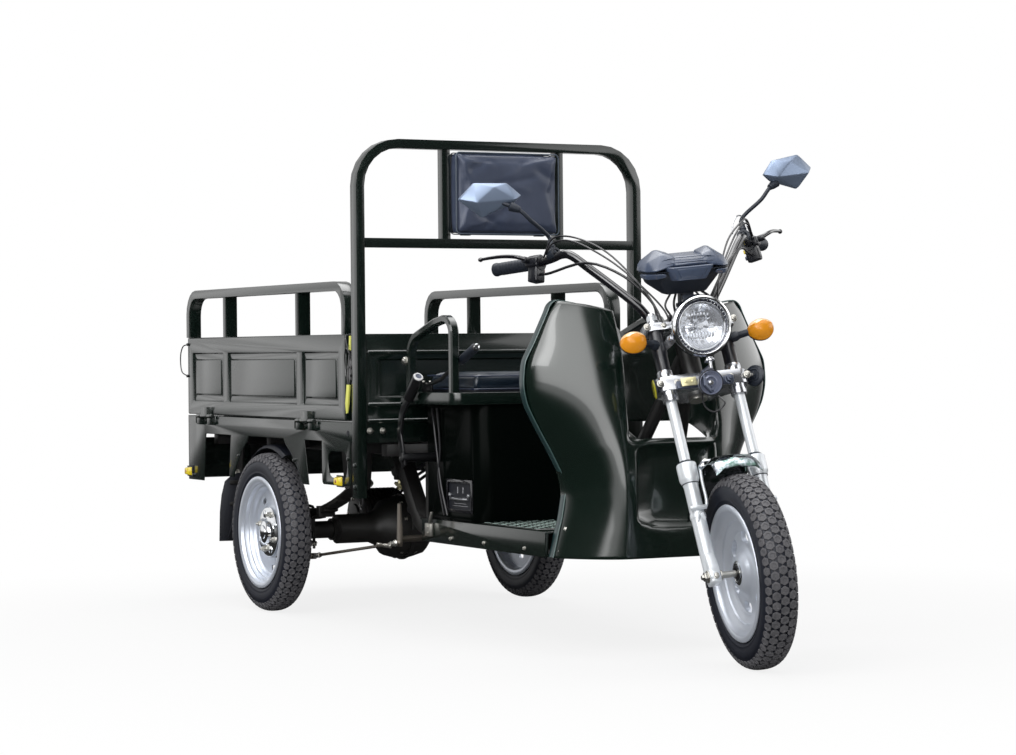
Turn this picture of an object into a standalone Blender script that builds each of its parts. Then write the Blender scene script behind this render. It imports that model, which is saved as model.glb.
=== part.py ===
"""Electric cargo tricycle: one steered front wheel, a driver's seat over a battery box and a cargo bed with drop gates.

Metres, +Z up, the front towards -Y and the vehicle's right side towards -X. The pieces are modelled about the
rear axle's station and stand on an empty that puts the origin under the middle of the whole vehicle.
"""

import math

import bmesh
import bpy
from mathutils import Matrix, Vector

# Layout
AXLE_STATION = 0.788
WHEEL_RADIUS = 0.235
TYRE_HALF_WIDTH = 0.0425
TRACK_HALF = 0.425
BEAD_RADIUS = 0.156
SEAM = 0.0003
WHEEL_STEPS = 30

# Steering
RAKE = math.radians(24.0)
STEER_AT_REST = math.radians(-13.0)
STEER_PIVOT = (0.0, -1.723, 0.7)
LEG_SPACING_HALF = 0.0888
LEG_OFFSET = 0.05
WHEEL_OFFSET = 0.063
LOWER_CLAMP = (-0.056, -0.020)
UPPER_CLAMP = (0.104, 0.124)
STANCHION_RADIUS = 0.0135
SLIDER_RADIUS = 0.018
COLLAR_RADIUS = 0.025
COLLAR_Z = (-0.285, -0.245)

# Cargo bed
BED_HALF_WIDTH = 0.44
BED_REAR = 0.65
GATE_FRONT = -0.59
BEAM_Z = (0.516, 0.572)
BEAM_WIDTH = 0.040
GATE_Z = (0.5755, 0.817)
GATE_THICKNESS = 0.025
RAIL_TOP = GATE_Z[1] + 0.149
RAIL_SECTION = (0.026, 0.040)
RAIL_CORNER = 0.088
RAIL_POSTS = (0.33, -0.244)
HINGE_OUT = BED_HALF_WIDTH + 0.0125
HINGE_Z = 0.572
HINGE_STATIONS = (0.47, -0.33)
TAIL_HINGE = BED_REAR + 0.0125
TAIL_HINGE_X = (-0.25, 0.25)
TAIL_BARREL_HALF = 0.026
TAIL_HALF_WIDTH = BED_HALF_WIDTH - 0.035
TAIL_DROP = 0.009

# Hoop behind the seat
HOOP_HALF_WIDTH = BED_HALF_WIDTH + 0.01
HOOP_TUBE = (0.025, 0.040)
HOOP_STATION = -0.676
HOOP_TOP = 1.355
HOOP_FOOT = 0.365
HOOP_CORNER = 0.13
HOOP_RAIL_Z = (HOOP_TOP - 0.300, HOOP_TOP - 0.274)
PAD_X = (-0.1592, 0.1732)
PAD_Z = (HOOP_TOP - 0.265, HOOP_TOP - 0.029)

# Latch recess in the right wall of the seat box
LATCH_Y = (-1.020, -0.868)
LATCH_Z = (0.335, 0.419)

# Brake linkage, as (station, height)
BRAKE_ROD_X = 0.350
BRAKE_ROD_FRONT = (-0.737, 0.242)
BRAKE_ROD_REAR = (-0.137, 0.168)
BRAKE_SHAFT_RADIUS = 0.009

# Seat and floor
SEAT_HALF_WIDTH = 0.34
SEAT_Z = (0.625, 0.657)
SEAT_Y = (-1.064, -0.712)
SEAT_BOX_HALF_WIDTH = 0.265
SEAT_BOX_Y = (-1.055, -0.742)
SEAT_BOX_WALL = 0.014
CUSHION_HALF_WIDTH = 0.276
CUSHION_Y = (-1.060, -0.757)
CUSHION_TOP = 0.712
FLOOR_HALF_WIDTH = 0.285
FLOOR_TOP = 0.310
SILL_BOTTOM = 0.246
FLOOR_Y = (-1.468, -0.750)

# The slot in the shield's shelf lets the frame's neck through.
SHELF_Z = (0.545, 0.585)

# Underbody
RAIL_X = 0.235
UPPER_RAIL_Z = (0.470, 0.5155)
LOWER_RAIL_Z = (0.262, 0.304)
SPRING_X = 0.33
SPRING_WIDTH = 0.045


def clear_scene():
    for obj in list(bpy.data.objects):
        bpy.data.objects.remove(obj, do_unlink=True)


def finish(name, colour, roughness, metallic=0.0, coat=0.0, alpha=1.0):
    material = bpy.data.materials.new(name)
    material.use_nodes = True
    shader = material.node_tree.nodes["Principled BSDF"]
    shader.inputs["Base Color"].default_value = (*colour, 1.0)
    shader.inputs["Roughness"].default_value = roughness
    shader.inputs["Metallic"].default_value = metallic
    shader.inputs["Coat Weight"].default_value = coat
    shader.inputs["Alpha"].default_value = alpha
    material.diffuse_color = (*colour, 1.0)
    return material


# Shapes: each function gives a closed bmesh.
def box(x, y, z, bevel=0.0, segments=1):
    """Box over the (low, high) pairs x, y and z, with its edges bevelled."""
    bm = bmesh.new()
    bmesh.ops.create_cube(bm, size=1.0)
    bmesh.ops.scale(bm, vec=(x[1] - x[0], y[1] - y[0], z[1] - z[0]), verts=bm.verts)
    bmesh.ops.translate(bm, vec=(sum(x) / 2, sum(y) / 2, sum(z) / 2), verts=bm.verts)
    if bevel:
        bmesh.ops.bevel(bm, geom=bm.edges[:], offset=bevel, segments=segments, profile=0.5, affect="EDGES",
                        clamp_overlap=True)
    return bm


def cylinder(start, end, radius, radius_end=None, segments=16):
    """Cylinder or cone between two points."""
    start, end = Vector(start), Vector(end)
    bm = bmesh.new()
    turn = (end - start).to_track_quat("Z", "Y").to_matrix().to_4x4()
    place = Matrix.Translation((start + end) / 2) @ turn
    bmesh.ops.create_cone(bm, cap_ends=True, segments=segments, radius1=radius,
                          radius2=radius if radius_end is None else radius_end,
                          depth=(end - start).length, matrix=place)
    return bm


def rounded(points, radius, steps=4, closed=True):
    """Polyline with each corner replaced by an arc; radius may be one number or one for each point."""
    points = [Vector(p) for p in points]
    count = len(points)
    radii = radius if isinstance(radius, (list, tuple)) else [radius] * count
    result = []
    for i, corner in enumerate(points):
        if radii[i] <= 0 or (not closed and i in (0, count - 1)):
            result.append(corner)
            continue
        before = points[i - 1] - corner
        after = points[(i + 1) % count] - corner
        room = 0.49 * min(before.length, after.length)
        before.normalize()
        after.normalize()
        half = before.angle(after) / 2
        if half > math.radians(89.5):
            result.append(corner)
            continue
        cut = min(radii[i] / math.tan(half), room)
        centre = corner + (before + after).normalized() * (cut / math.cos(half))
        first = corner + before * cut - centre
        last = corner + after * cut - centre
        sweep = first.angle(last)
        for k in range(steps + 1):
            t = k / steps
            arm = first * math.sin((1 - t) * sweep) + last * math.sin(t * sweep)
            result.append(centre + arm / math.sin(sweep))
    return result


def plate(outline, along, low, high):
    """Flat outline extruded from low to high along one axis."""
    axes = {"X": ((0, 1, 0), (0, 0, 1), (1, 0, 0)), "Y": ((1, 0, 0), (0, 0, 1), (0, 1, 0)),
            "Z": ((1, 0, 0), (0, 1, 0), (0, 0, 1))}
    u, v, w = (Vector(axis) for axis in axes[along])
    bm = bmesh.new()
    face = bm.faces.new([bm.verts.new(u * p[0] + v * p[1] + w * low) for p in outline])
    made = bmesh.ops.extrude_face_region(bm, geom=[face])
    moved = [item for item in made["geom"] if isinstance(item, bmesh.types.BMVert)]
    bmesh.ops.translate(bm, vec=w * (high - low), verts=moved)
    bmesh.ops.recalc_face_normals(bm, faces=bm.faces)
    return bm


def oblong(width, height, radius=0.0, steps=3):
    """Section of a rectangular bar."""
    w, h = width / 2, height / 2
    corners = [(-w, -h), (w, -h), (w, h), (-w, h)]
    return rounded(corners, radius, steps) if radius else [Vector(c) for c in corners]


def circle(radius, sides=10):
    turn = 2 * math.pi / sides
    return [Vector((radius * math.cos(turn * (k + 0.5)), radius * math.sin(turn * (k + 0.5)))) for k in range(sides)]


def sweep(path, section, closed=False, first_axis=(0, 0, 1), scales=None):
    """Section carried along a path, mitred at its corners; first_axis is where the section's first axis points."""
    path = [Vector(p) for p in path]
    count = len(path)
    bm = bmesh.new()
    rings = []
    normal = Vector(first_axis)
    if abs(normal.dot((path[1] - path[0]).normalized())) > 0.9:
        normal = Vector((1, 0, 0))
    for i, point in enumerate(path):
        into = (point - path[i - 1]).normalized() if i or closed else None
        out = (path[(i + 1) % count] - point).normalized() if i < count - 1 or closed else None
        into = into or out
        out = out or into
        tangent = (into + out).normalized()
        normal = (normal - tangent * normal.dot(tangent)).normalized()
        binormal = tangent.cross(normal)
        bend = out - into
        stretch = 1.0 / max(0.2, into.dot(tangent)) - 1.0
        size = scales[i] if scales else 1.0
        ring = []
        for a, b in section:
            arm = (normal * a + binormal * b) * size
            if bend.length > 1e-6:
                side = bend.normalized()
                arm = arm + side * arm.dot(side) * stretch
            ring.append(bm.verts.new(point + arm))
        rings.append(ring)
    pairs = list(zip(rings, rings[1:]))
    if closed:
        pairs.append((rings[-1], rings[0]))
    for a, b in pairs:
        for k in range(len(section)):
            n = (k + 1) % len(section)
            bm.faces.new((a[k], a[n], b[n], b[k]))
    if not closed:
        bm.faces.new(rings[0])
        bm.faces.new(rings[-1])
    bmesh.ops.recalc_face_normals(bm, faces=bm.faces)
    return bm


def tube(path, radius, sides=10, bend=0.0, steps=4):
    """Round tube along a path whose corners are bent to a radius."""
    return sweep(rounded(path, bend, steps, closed=False) if bend else path, circle(radius, sides))


def turned(profile, steps=WHEEL_STEPS, ring=False, at=(0, 0, 0), angle=2 * math.pi, start=0.0):
    """Profile of (along X, radius) pairs spun about X; ring says that the profile closes on itself off the axis."""
    bm = bmesh.new()
    verts = [bm.verts.new((along, 0.0, -radius)) for along, radius in profile]
    edges = [bm.edges.new(pair) for pair in zip(verts, verts[1:])]
    if ring:
        edges.append(bm.edges.new((verts[-1], verts[0])))
    whole = angle > 6.28
    bmesh.ops.rotate(bm, cent=(0, 0, 0), matrix=Matrix.Rotation(start, 3, "X"), verts=verts)
    spun = bmesh.ops.spin(bm, geom=verts + edges, cent=(0, 0, 0), axis=(1, 0, 0), angle=angle, steps=steps,
                          use_merge=whole)
    if not whole:
        bm.faces.new(verts)
        last = [item for item in spun["geom_last"] if isinstance(item, bmesh.types.BMVert)]
        bm.faces.new(last)
    bmesh.ops.remove_doubles(bm, verts=bm.verts, dist=1e-5)
    bmesh.ops.recalc_face_normals(bm, faces=bm.faces)
    bmesh.ops.translate(bm, vec=at, verts=bm.verts)
    return bm


def moved(bm, matrix):
    bmesh.ops.transform(bm, matrix=matrix, verts=bm.verts)
    if matrix.determinant() < 0:
        bmesh.ops.reverse_faces(bm, faces=bm.faces)
    return bm


def mirrored(bm):
    """The same shape on the other side of the vehicle's middle plane."""
    return moved(bm, Matrix.Diagonal((-1, 1, 1, 1)))


# Objects
def pivot(name, at=(0, 0, 0), parent=None):
    empty = bpy.data.objects.new(name, None)
    bpy.context.scene.collection.objects.link(empty)
    empty.location = at
    empty.parent = parent
    return empty


def helper(bm, name):
    mesh = bpy.data.meshes.new(name)
    bm.to_mesh(mesh)
    bm.free()
    obj = bpy.data.objects.new(name, mesh)
    bpy.context.scene.collection.objects.link(obj)
    return obj


def piece(name, shapes, material, parent, cutters=(), offset=(0, 0, 0), sharp=35.0):
    """One closed body: the shapes joined, then the cutters taken away. The offset moves it in its parent's frame."""
    body = helper(shapes[0], name)
    helpers = []
    for operation, items in (("UNION", shapes[1:]), ("DIFFERENCE", cutters)):
        if not items:
            continue
        group = bpy.data.collections.new(f"{name}_{operation.lower()}")
        bpy.context.scene.collection.children.link(group)
        for k, bm in enumerate(items):
            tool = helper(bm, f"{name}_{operation.lower()}_{k}")
            tool.hide_render = True
            tool.display_type = "WIRE"
            bpy.context.scene.collection.objects.unlink(tool)
            group.objects.link(tool)
            helpers.append(tool)
        modifier = body.modifiers.new(operation.title(), "BOOLEAN")
        modifier.operation = operation
        modifier.operand_type = "COLLECTION"
        modifier.collection = group
        modifier.solver = "EXACT"
    if helpers:
        graph = bpy.context.evaluated_depsgraph_get()
        joined = bpy.data.meshes.new_from_object(body.evaluated_get(graph))
        body.modifiers.clear()
        body.data = joined
        joined.name = name
        for tool in helpers:
            bpy.data.objects.remove(tool, do_unlink=True)
    body.data.materials.clear()
    body.data.materials.append(material)
    body.data.shade_smooth()
    body.data.set_sharp_from_angle(angle=math.radians(sharp))
    body.parent = parent
    body.location = offset
    return body


def curve_between(table, value):
    """Straight interpolation in a table of (value, result) pairs."""
    for (a, fa), (b, fb) in zip(table, table[1:]):
        if value <= b:
            t = max(0.0, (value - a) / (b - a))
            return fa + (fb - fa) * t
    return table[-1][1]


# Wheels
def tyre_profile():
    w, r = TYRE_HALF_WIDTH, WHEEL_RADIUS
    side = [(0.0343, BEAD_RADIUS), (0.0343, 0.1668), (w - 0.001, 0.182), (w - 0.001, 0.208), (w - 0.011, 0.2275),
            (w - 0.026, 0.2338)]
    return side + [(0.0, r)] + [(-a, b) for a, b in reversed(side)]


def rim_edge():
    """Outside of the rim from the outer lip to the inner lip, over the tyre's seat."""
    seat = BEAD_RADIUS - SEAM
    half = [(0.0395, 0.152), (0.0400, 0.1655), (0.0347, 0.1655), (0.0347, seat)]
    return half + [(-a, b) for a, b in reversed(half)]


def rear_rim_shape():
    face = [(0.030, 0.0), (0.030, 0.022), (0.025, 0.030), (0.006, 0.034), (0.004, 0.062), (-0.006, 0.100),
            (-0.006, 0.130), (0.030, 0.1475)]
    back = [(-0.036, 0.149), (-0.012, 0.146), (-0.012, 0.130), (-0.010, 0.0)]
    return turned(face + rim_edge() + back)


def front_rim_shape():
    face = [(0.032, 0.0), (0.032, 0.030), (0.020, 0.052), (0.008, 0.060), (0.006, 0.098), (0.030, 0.1475)]
    back = [(-a, b) for a, b in reversed(face)]
    return turned(face + rim_edge() + back)


def make_wheel(name, hub, rim, cuts, finishes, mirror=False):
    turn = Matrix.Rotation(math.pi if mirror else 0.0, 4, "Z")
    piece(f"{name}_tyre", [turned(tyre_profile(), ring=True)], finishes["tyre"], hub)
    piece(f"{name}_rim", [moved(rim, turn)], finishes["rim"], hub, cutters=[moved(c, turn) for c in cuts])


def rim_windows(count, radius, size, x_range):
    result = []
    for k in range(count):
        a = 2 * math.pi * (k + 0.5) / count
        centre = Vector((0, radius * math.sin(a), radius * math.cos(a)))
        result.append(cylinder(centre + Vector((x_range[0], 0, 0)), centre + Vector((x_range[1], 0, 0)), size,
                               segments=10))
    return result


# Chassis
def make_chassis(root, finishes):
    shapes = []
    for side in (-1, 1):
        x = side * RAIL_X
        low = sum(LOWER_RAIL_Z) / 2
        high = UPPER_RAIL_Z[1] - 0.021
        path = [(x, -1.497, low), (x, -0.66, low), (x, -0.50, high), (x, 0.60, high)]
        shapes.append(sweep(rounded(path, 0.07, 3, closed=False), oblong(0.042, 0.040)))
        shapes.append(box((x - 0.016, x + 0.016), (-0.735, -0.705), (LOWER_RAIL_Z[0] + 0.005, UPPER_RAIL_Z[1])))
        shapes.append(box((x - 0.02, x + 0.02), (-0.738, -0.45), UPPER_RAIL_Z))
    for y in (-1.48, -1.08, -0.68):
        shapes.append(box((-RAIL_X, RAIL_X), (y - 0.018, y + 0.018), (0.268, 0.300)))
    for y in (-0.715, -0.50, 0.12, 0.56):
        shapes.append(box((-0.38, 0.38), (y - 0.018, y + 0.018), (0.480, 0.512)))
    for side in (-1, 1):
        for y in (-0.42, 0.42):
            x = side * SPRING_X
            shapes.append(plate([(y - 0.045, 0.505), (y + 0.045, 0.505), (y + 0.022, 0.378), (y - 0.022, 0.378)],
                                "X", x + side * 0.0245, x + side * 0.0305))
            shapes.append(plate([(y - 0.045, 0.505), (y + 0.045, 0.505), (y + 0.022, 0.378), (y - 0.022, 0.378)],
                                "X", x - side * 0.0305, x - side * 0.0245))
            shapes.append(box((x - 0.0305, x + 0.0305), (y - 0.045, y + 0.045), (0.484, 0.508)))
        shapes.append(box((min(side * 0.20, side * 0.36), max(side * 0.20, side * 0.36)), (-0.44, -0.40),
                          (0.484, 0.510)))
        shapes.append(box((min(side * 0.20, side * 0.36), max(side * 0.20, side * 0.36)), (0.40, 0.44),
                          (0.484, 0.510)))
    steer = steering_matrix(0.0)
    lower = steer @ Vector((0, 0, LOWER_CLAMP[1] + 0.001))
    upper = steer @ Vector((0, 0, UPPER_CLAMP[0] - 0.001))
    shapes.append(cylinder(lower, upper, 0.027, segments=20))
    for side in (-1, 1):
        foot = (side * 0.10, -1.565, 0.284)
        knee = (side * 0.055, -1.565, 0.53)
        shapes.append(tube([foot, knee, steer @ Vector((side * 0.012, 0.006, 0.055))], 0.017, 10, bend=0.05, steps=3))
    shapes.append(box((-0.12, 0.12), (-1.6413, -1.470), (0.270, 0.298)))
    piece("chassis_frame", shapes, finishes["underframe"], root)


def make_floor(root, finishes):
    w = FLOOR_HALF_WIDTH
    shapes = [box((-w, w), (FLOOR_Y[0], -0.74), (0.3045, FLOOR_TOP)),
              box((0.023 - w, w - 0.023), (-1.38, -1.075), (0.309, FLOOR_TOP + 0.002))]
    for side in (-1, 1):
        shapes.append(box(tuple(sorted((side * (w - 0.012), side * w))), FLOOR_Y, (SILL_BOTTOM, 0.309)))
    piece("floor_pan", shapes, finishes["paint"], root)


def shield_half_width(z):
    return curve_between([(0.243, 0.276), (0.334, 0.254), (0.400, 0.229), (0.446, 0.236), (0.519, 0.282),
                          (0.586, 0.321), (0.638, 0.347), (0.689, 0.355), (0.740, 0.349), (0.790, 0.322),
                          (0.867, 0.284), (0.892, 0.262)], z)


def shield_top(x):
    return curve_between([(0.0, 0.790), (0.070, 0.800), (0.094, 0.823), (0.108, 0.849), (0.126, 0.866),
                          (0.191, 0.882), (0.262, 0.892)], x)


def shield_depth(x, z, half_width):
    """How far forward of its rim the front shield stands."""
    depth = curve_between([(0.25, 0.145), (0.45, 0.150), (0.60, 0.125), (0.75, 0.105), (0.89, 0.045)], z)
    t = min(1.0, max(0.0, (x - 0.135) / max(0.01, half_width - 0.135)))
    depth *= math.cos(t * math.pi / 2) ** 0.8
    side = 1.0 - min(1.0, max(0.0, (x - 0.100) / 0.030))
    channel = min(1.0, max(0.0, (z - 0.540) / 0.040)) * side
    depth -= channel * curve_between([(0.54, 0.11), (0.70, 0.10), (0.80, 0.075)], z)
    niche = min(1.0, max(0.0, (z - 0.315) / 0.030)) * min(1.0, max(0.0, (0.530 - z) / 0.012))
    return depth - 0.030 * niche * (1.0 - min(1.0, max(0.0, (x - 0.104) / 0.012)))


def make_shield(root, finishes):
    inner = (0.0, 0.035, 0.070, 0.102, 0.117, 0.130, 0.145)
    outer = (0.12, 0.28, 0.46, 0.64, 0.80, 0.92, 1.0)
    low_rows = (0.246, 0.28, 0.314, 0.346, 0.43, 0.515, 0.532, SHELF_Z[0], SHELF_Z[1])
    top_rows = (0.16, 0.33, 0.5, 0.66, 0.8, 0.9, 1.0)
    bm = bmesh.new()
    grid = []
    columns = [(0, k) for k in range(len(inner))] + [(1, k) for k in range(len(outer))] + [(2, 0)]
    for kind, k in columns:
        column = []
        for row in range(len(low_rows) + len(top_rows)):
            top = shield_top(inner[k]) if kind == 0 else None
            if kind:
                fraction = outer[k] if kind == 1 else 1.0
                top = shield_top(0.145 + fraction * (0.262 - 0.145))
            z = low_rows[row] if row < len(low_rows) else (
                low_rows[-1] + top_rows[row - len(low_rows)] * (top - low_rows[-1]))
            half_width = shield_half_width(z)
            x = inner[k] if kind == 0 else 0.145 + fraction * (half_width - 0.145)
            y = -1.500 - shield_depth(x, z, half_width)
            if kind == 2:
                y += 0.028
            column.append((x, y, z))
        grid.append(column)
    full = [[(-x, y, z) for x, y, z in column] for column in reversed(grid[1:])] + grid
    verts = [[bm.verts.new(p) for p in column] for column in full]
    for a, b in zip(verts, verts[1:]):
        for k in range(len(a) - 1):
            middle = (a[k].co + b[k + 1].co) / 2
            if abs(middle.x) > 0.102 or not SHELF_Z[0] < middle.z < SHELF_Z[1]:
                bm.faces.new((a[k], b[k], b[k + 1], a[k + 1]))
    bmesh.ops.recalc_face_normals(bm, faces=bm.faces)
    if sum(face.normal.y for face in bm.faces) > 0:
        bmesh.ops.reverse_faces(bm, faces=bm.faces)
    shield = piece("front_shield", [bm], finishes["paint"], root)
    solid = shield.modifiers.new("Sheet", "SOLIDIFY")
    solid.thickness = 0.004
    solid.offset = -1.0
    solid.use_even_offset = False
    return shield


# Seat
def make_seat(root, lid, finishes):
    w = SEAT_BOX_HALF_WIDTH
    y0, y1 = SEAT_BOX_Y
    outline = rounded([(-w, y0), (w, y0), (w, y1), (-w, y1)], [0.05, 0.05, 0.012, 0.012], 4)
    inner = rounded([(-w + SEAT_BOX_WALL, y0 + SEAT_BOX_WALL), (w - SEAT_BOX_WALL, y0 + SEAT_BOX_WALL),
                     (w - SEAT_BOX_WALL, y1 - SEAT_BOX_WALL), (-w + SEAT_BOX_WALL, y1 - SEAT_BOX_WALL)],
                    [0.036, 0.036, 0.006, 0.006], 4)
    latch = [(LATCH_Y[0], LATCH_Z[0]), (LATCH_Y[1], LATCH_Z[0]), (LATCH_Y[1], LATCH_Z[1]), (LATCH_Y[0], LATCH_Z[1])]
    piece("seat_box", [plate(outline, "Z", FLOOR_TOP + SEAM, SEAT_Z[0] - SEAM)], finishes["paint"], root,
          cutters=[plate(inner, "Z", FLOOR_TOP + 0.016, 0.70),
                   plate(rounded(latch, 0.010, 3), "X", -w - 0.010, -w + SEAT_BOX_WALL / 2)])
    w = SEAT_HALF_WIDTH
    outline = rounded([(-w, SEAT_Y[0]), (w, SEAT_Y[0]), (w, SEAT_Y[1]), (-w, SEAT_Y[1])], 0.03, 4)
    mouth = rounded([(-0.235, -1.020), (0.235, -1.020), (0.235, -0.795), (-0.235, -0.795)], 0.02, 3)
    piece("seat_plate", [plate(outline, "Z", *SEAT_Z)], finishes["paint"], root,
          cutters=[plate(mouth, "Z", 0.60, 0.70)])
    for side, name in ((-1, "right"), (1, "left")):
        x = side * (SEAT_HALF_WIDTH - 0.018)
        z = SEAT_Z[1]
        path = rounded([(x, -1.035, z + SEAM), (x, -1.035, z + 0.205), (x, -0.930, z + 0.188),
                        (x, -0.770, z + 0.140), (x, -0.770, z + SEAM)], 0.062, 5, closed=False)
        piece(f"armrest_{name}", [sweep(path, oblong(0.020, 0.025, 0.004, 1), first_axis=(0, 1, 0))],
              finishes["paint"], root)
    w = CUSHION_HALF_WIDTH
    base = SEAT_Z[1] + 0.0004
    piece("seat_cushion", [box((-w, w), CUSHION_Y, (base, CUSHION_TOP), 0.018, 3)], finishes["vinyl"], lid,
          offset=-lid.location)


def make_hoop(root, finishes):
    x = HOOP_HALF_WIDTH - HOOP_TUBE[0] / 2
    z = HOOP_TOP - HOOP_TUBE[0] / 2
    y = HOOP_STATION
    path = rounded([(-x, y, HOOP_FOOT), (-x, y, z), (x, y, z), (x, y, HOOP_FOOT)],
                   HOOP_CORNER - HOOP_TUBE[0] / 2, 6, closed=False)
    shapes = [sweep(path, oblong(*HOOP_TUBE), first_axis=(1, 0, 0))]
    shapes.append(box((-x, x), (y - 0.015, y + 0.015), HOOP_RAIL_Z))
    for centre in (PAD_X[0] - 0.0128, PAD_X[1] + 0.0128):
        shapes.append(box((centre - 0.0125, centre + 0.0125), (y - 0.014, y + 0.014), (HOOP_RAIL_Z[0] + 0.005, z)))
    piece("hoop", shapes, finishes["paint"], root)
    piece("back_pad", [box(PAD_X, (y - 0.056, y + 0.002), PAD_Z, 0.014, 3)], finishes["vinyl"], root)


# Cargo bed
def make_bed(root, finishes):
    w = BED_HALF_WIDTH
    for side, name in ((-1, "right"), (1, "left")):
        shapes = [box(tuple(sorted((side * (w - BEAM_WIDTH), side * w))), (-0.6557, BED_REAR), BEAM_Z)]
        face = tuple(sorted((side * (w - 0.003), side * w)))
        top = BEAM_Z[0] + 0.004
        rear_leg = [(0.495, top), (0.650, top), (0.650, 0.368), (0.515, 0.368)]
        arch = [(0.134, top), (0.282, top), (0.300, 0.388), (0.262, 0.388), (0.235, 0.43), (0.19, 0.475),
                (0.15, 0.500)]
        front_arch = [(-0.133, top), (-0.291, top), (-0.324, 0.388), (-0.266, 0.388), (-0.240, 0.43),
                      (-0.19, 0.475), (-0.15, 0.500)]
        bracket = rounded([(-0.62, top), (-0.62, 0.394), (-0.42, 0.394), (-0.42, top)], [0, 0.012, 0.012, 0], 3)
        for outline in (rear_leg, arch, front_arch, bracket):
            shapes.append(plate(outline, "X", *face))
        hole = rounded([(-0.595, 0.490), (-0.598, 0.415), (-0.470, 0.415), (-0.456, 0.490)], 0.03, 4)
        for station in HINGE_STATIONS:
            for end in (-1, 1):
                y = station + end * 0.045
                shapes.append(cylinder((side * HINGE_OUT, y - 0.016, HINGE_Z), (side * HINGE_OUT, y + 0.016, HINGE_Z),
                                       0.007, segments=12))
                shapes.append(box(tuple(sorted((side * (w - 0.002), side * (HINGE_OUT + 0.004)))),
                                  (y - 0.016, y + 0.016), (0.545, HINGE_Z)))
        piece(f"bed_beam_{name}", shapes, finishes["paint"], root,
              cutters=[plate(hole, "X", side * w - 0.02, side * w + 0.02)])
    inside = w - BEAM_WIDTH - SEAM
    shapes = [box((-inside, inside), (-0.652, 0.6475), (0.564, 0.570)),
              box((0.008 - inside, inside - 0.008), (-0.644, 0.618), (0.568, 0.5715))]
    for k in range(7):
        y = -0.55 + k * 0.19
        shapes.append(box((-inside, inside), (y - 0.014, y + 0.014), (0.548, 0.566)))
    shapes.append(box((-inside, inside), (0.6135, 0.6475), (UPPER_RAIL_Z[1] + SEAM, 0.566)))
    shapes.append(box((-inside, inside), (-0.652, -0.622), (UPPER_RAIL_Z[1] + SEAM, 0.566)))
    piece("bed_floor", shapes, finishes["paint"], root)
    x = HOOP_HALF_WIDTH - HOOP_TUBE[0] - SEAM
    shapes = [box((-x, x), (-0.690, -0.664), (0.517, 0.817))]
    cuts = [box((-x + 0.04, x - 0.04), (-0.70, -0.684), (0.640, 0.748), 0.005)]
    for z in (0.766, 0.622, 0.577):
        shapes.append(box((-x + 0.006, x - 0.006), (-0.6935, -0.680), (z - 0.006, z + 0.006), 0.003))
    piece("bulkhead", shapes, finishes["paint"], root, cutters=cuts)
    skirt = BED_HALF_WIDTH - 0.0033
    shapes = [box((-skirt, skirt), (BED_REAR - 0.010, BED_REAR - 0.0025), (0.372, 0.500), 0.002)]
    leaf = BED_REAR - 0.0025 + SEAM
    for middle in TAIL_HINGE_X:
        for end in (-1, 1):
            x = middle + end * (TAIL_BARREL_HALF + SEAM + 0.016)
            shapes.append(box((x - 0.016, x + 0.016), (BED_REAR - 0.006, leaf + 0.006), (0.470, 0.4995)))
            shapes.append(box((x - 0.016, x + 0.016), (leaf, leaf + 0.006), (0.470, HINGE_Z)))
            shapes.append(box((x - 0.016, x + 0.016), (leaf, TAIL_HINGE + 0.004), (0.545, HINGE_Z)))
            shapes.append(cylinder((x - 0.016, TAIL_HINGE, HINGE_Z), (x + 0.016, TAIL_HINGE, HINGE_Z), 0.007,
                                   segments=12))
    piece("tail_plate", shapes, finishes["paint"], root)


def gate_panel(face, inner, y, z, ribs, side):
    """Pressed sheet gate: its outer face has a recess for each bay, with a raised field in it."""
    low, high = sorted((face, inner))
    panel = box((low, high), y, z, 0.003)
    cuts = []
    fields = []
    edges = [y[0] + 0.045] + [v for rib in ribs for v in (rib - 0.018, rib + 0.018)] + [y[1] - 0.045]
    for a, b in zip(edges[::2], edges[1::2]):
        lo, hi = sorted((face + side * 0.01, face - side * 0.006))
        cuts.append(box((lo, hi), (a, b), (z[0] + 0.0415, z[1] - 0.048), 0.004))
        lo, hi = sorted((face - side * 0.0015, face - side * 0.012))
        fields.append(box((lo, hi), (a + 0.022, b - 0.022), (z[0] + 0.0615, z[1] - 0.068), 0.004))
    return panel, cuts, fields


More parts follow.
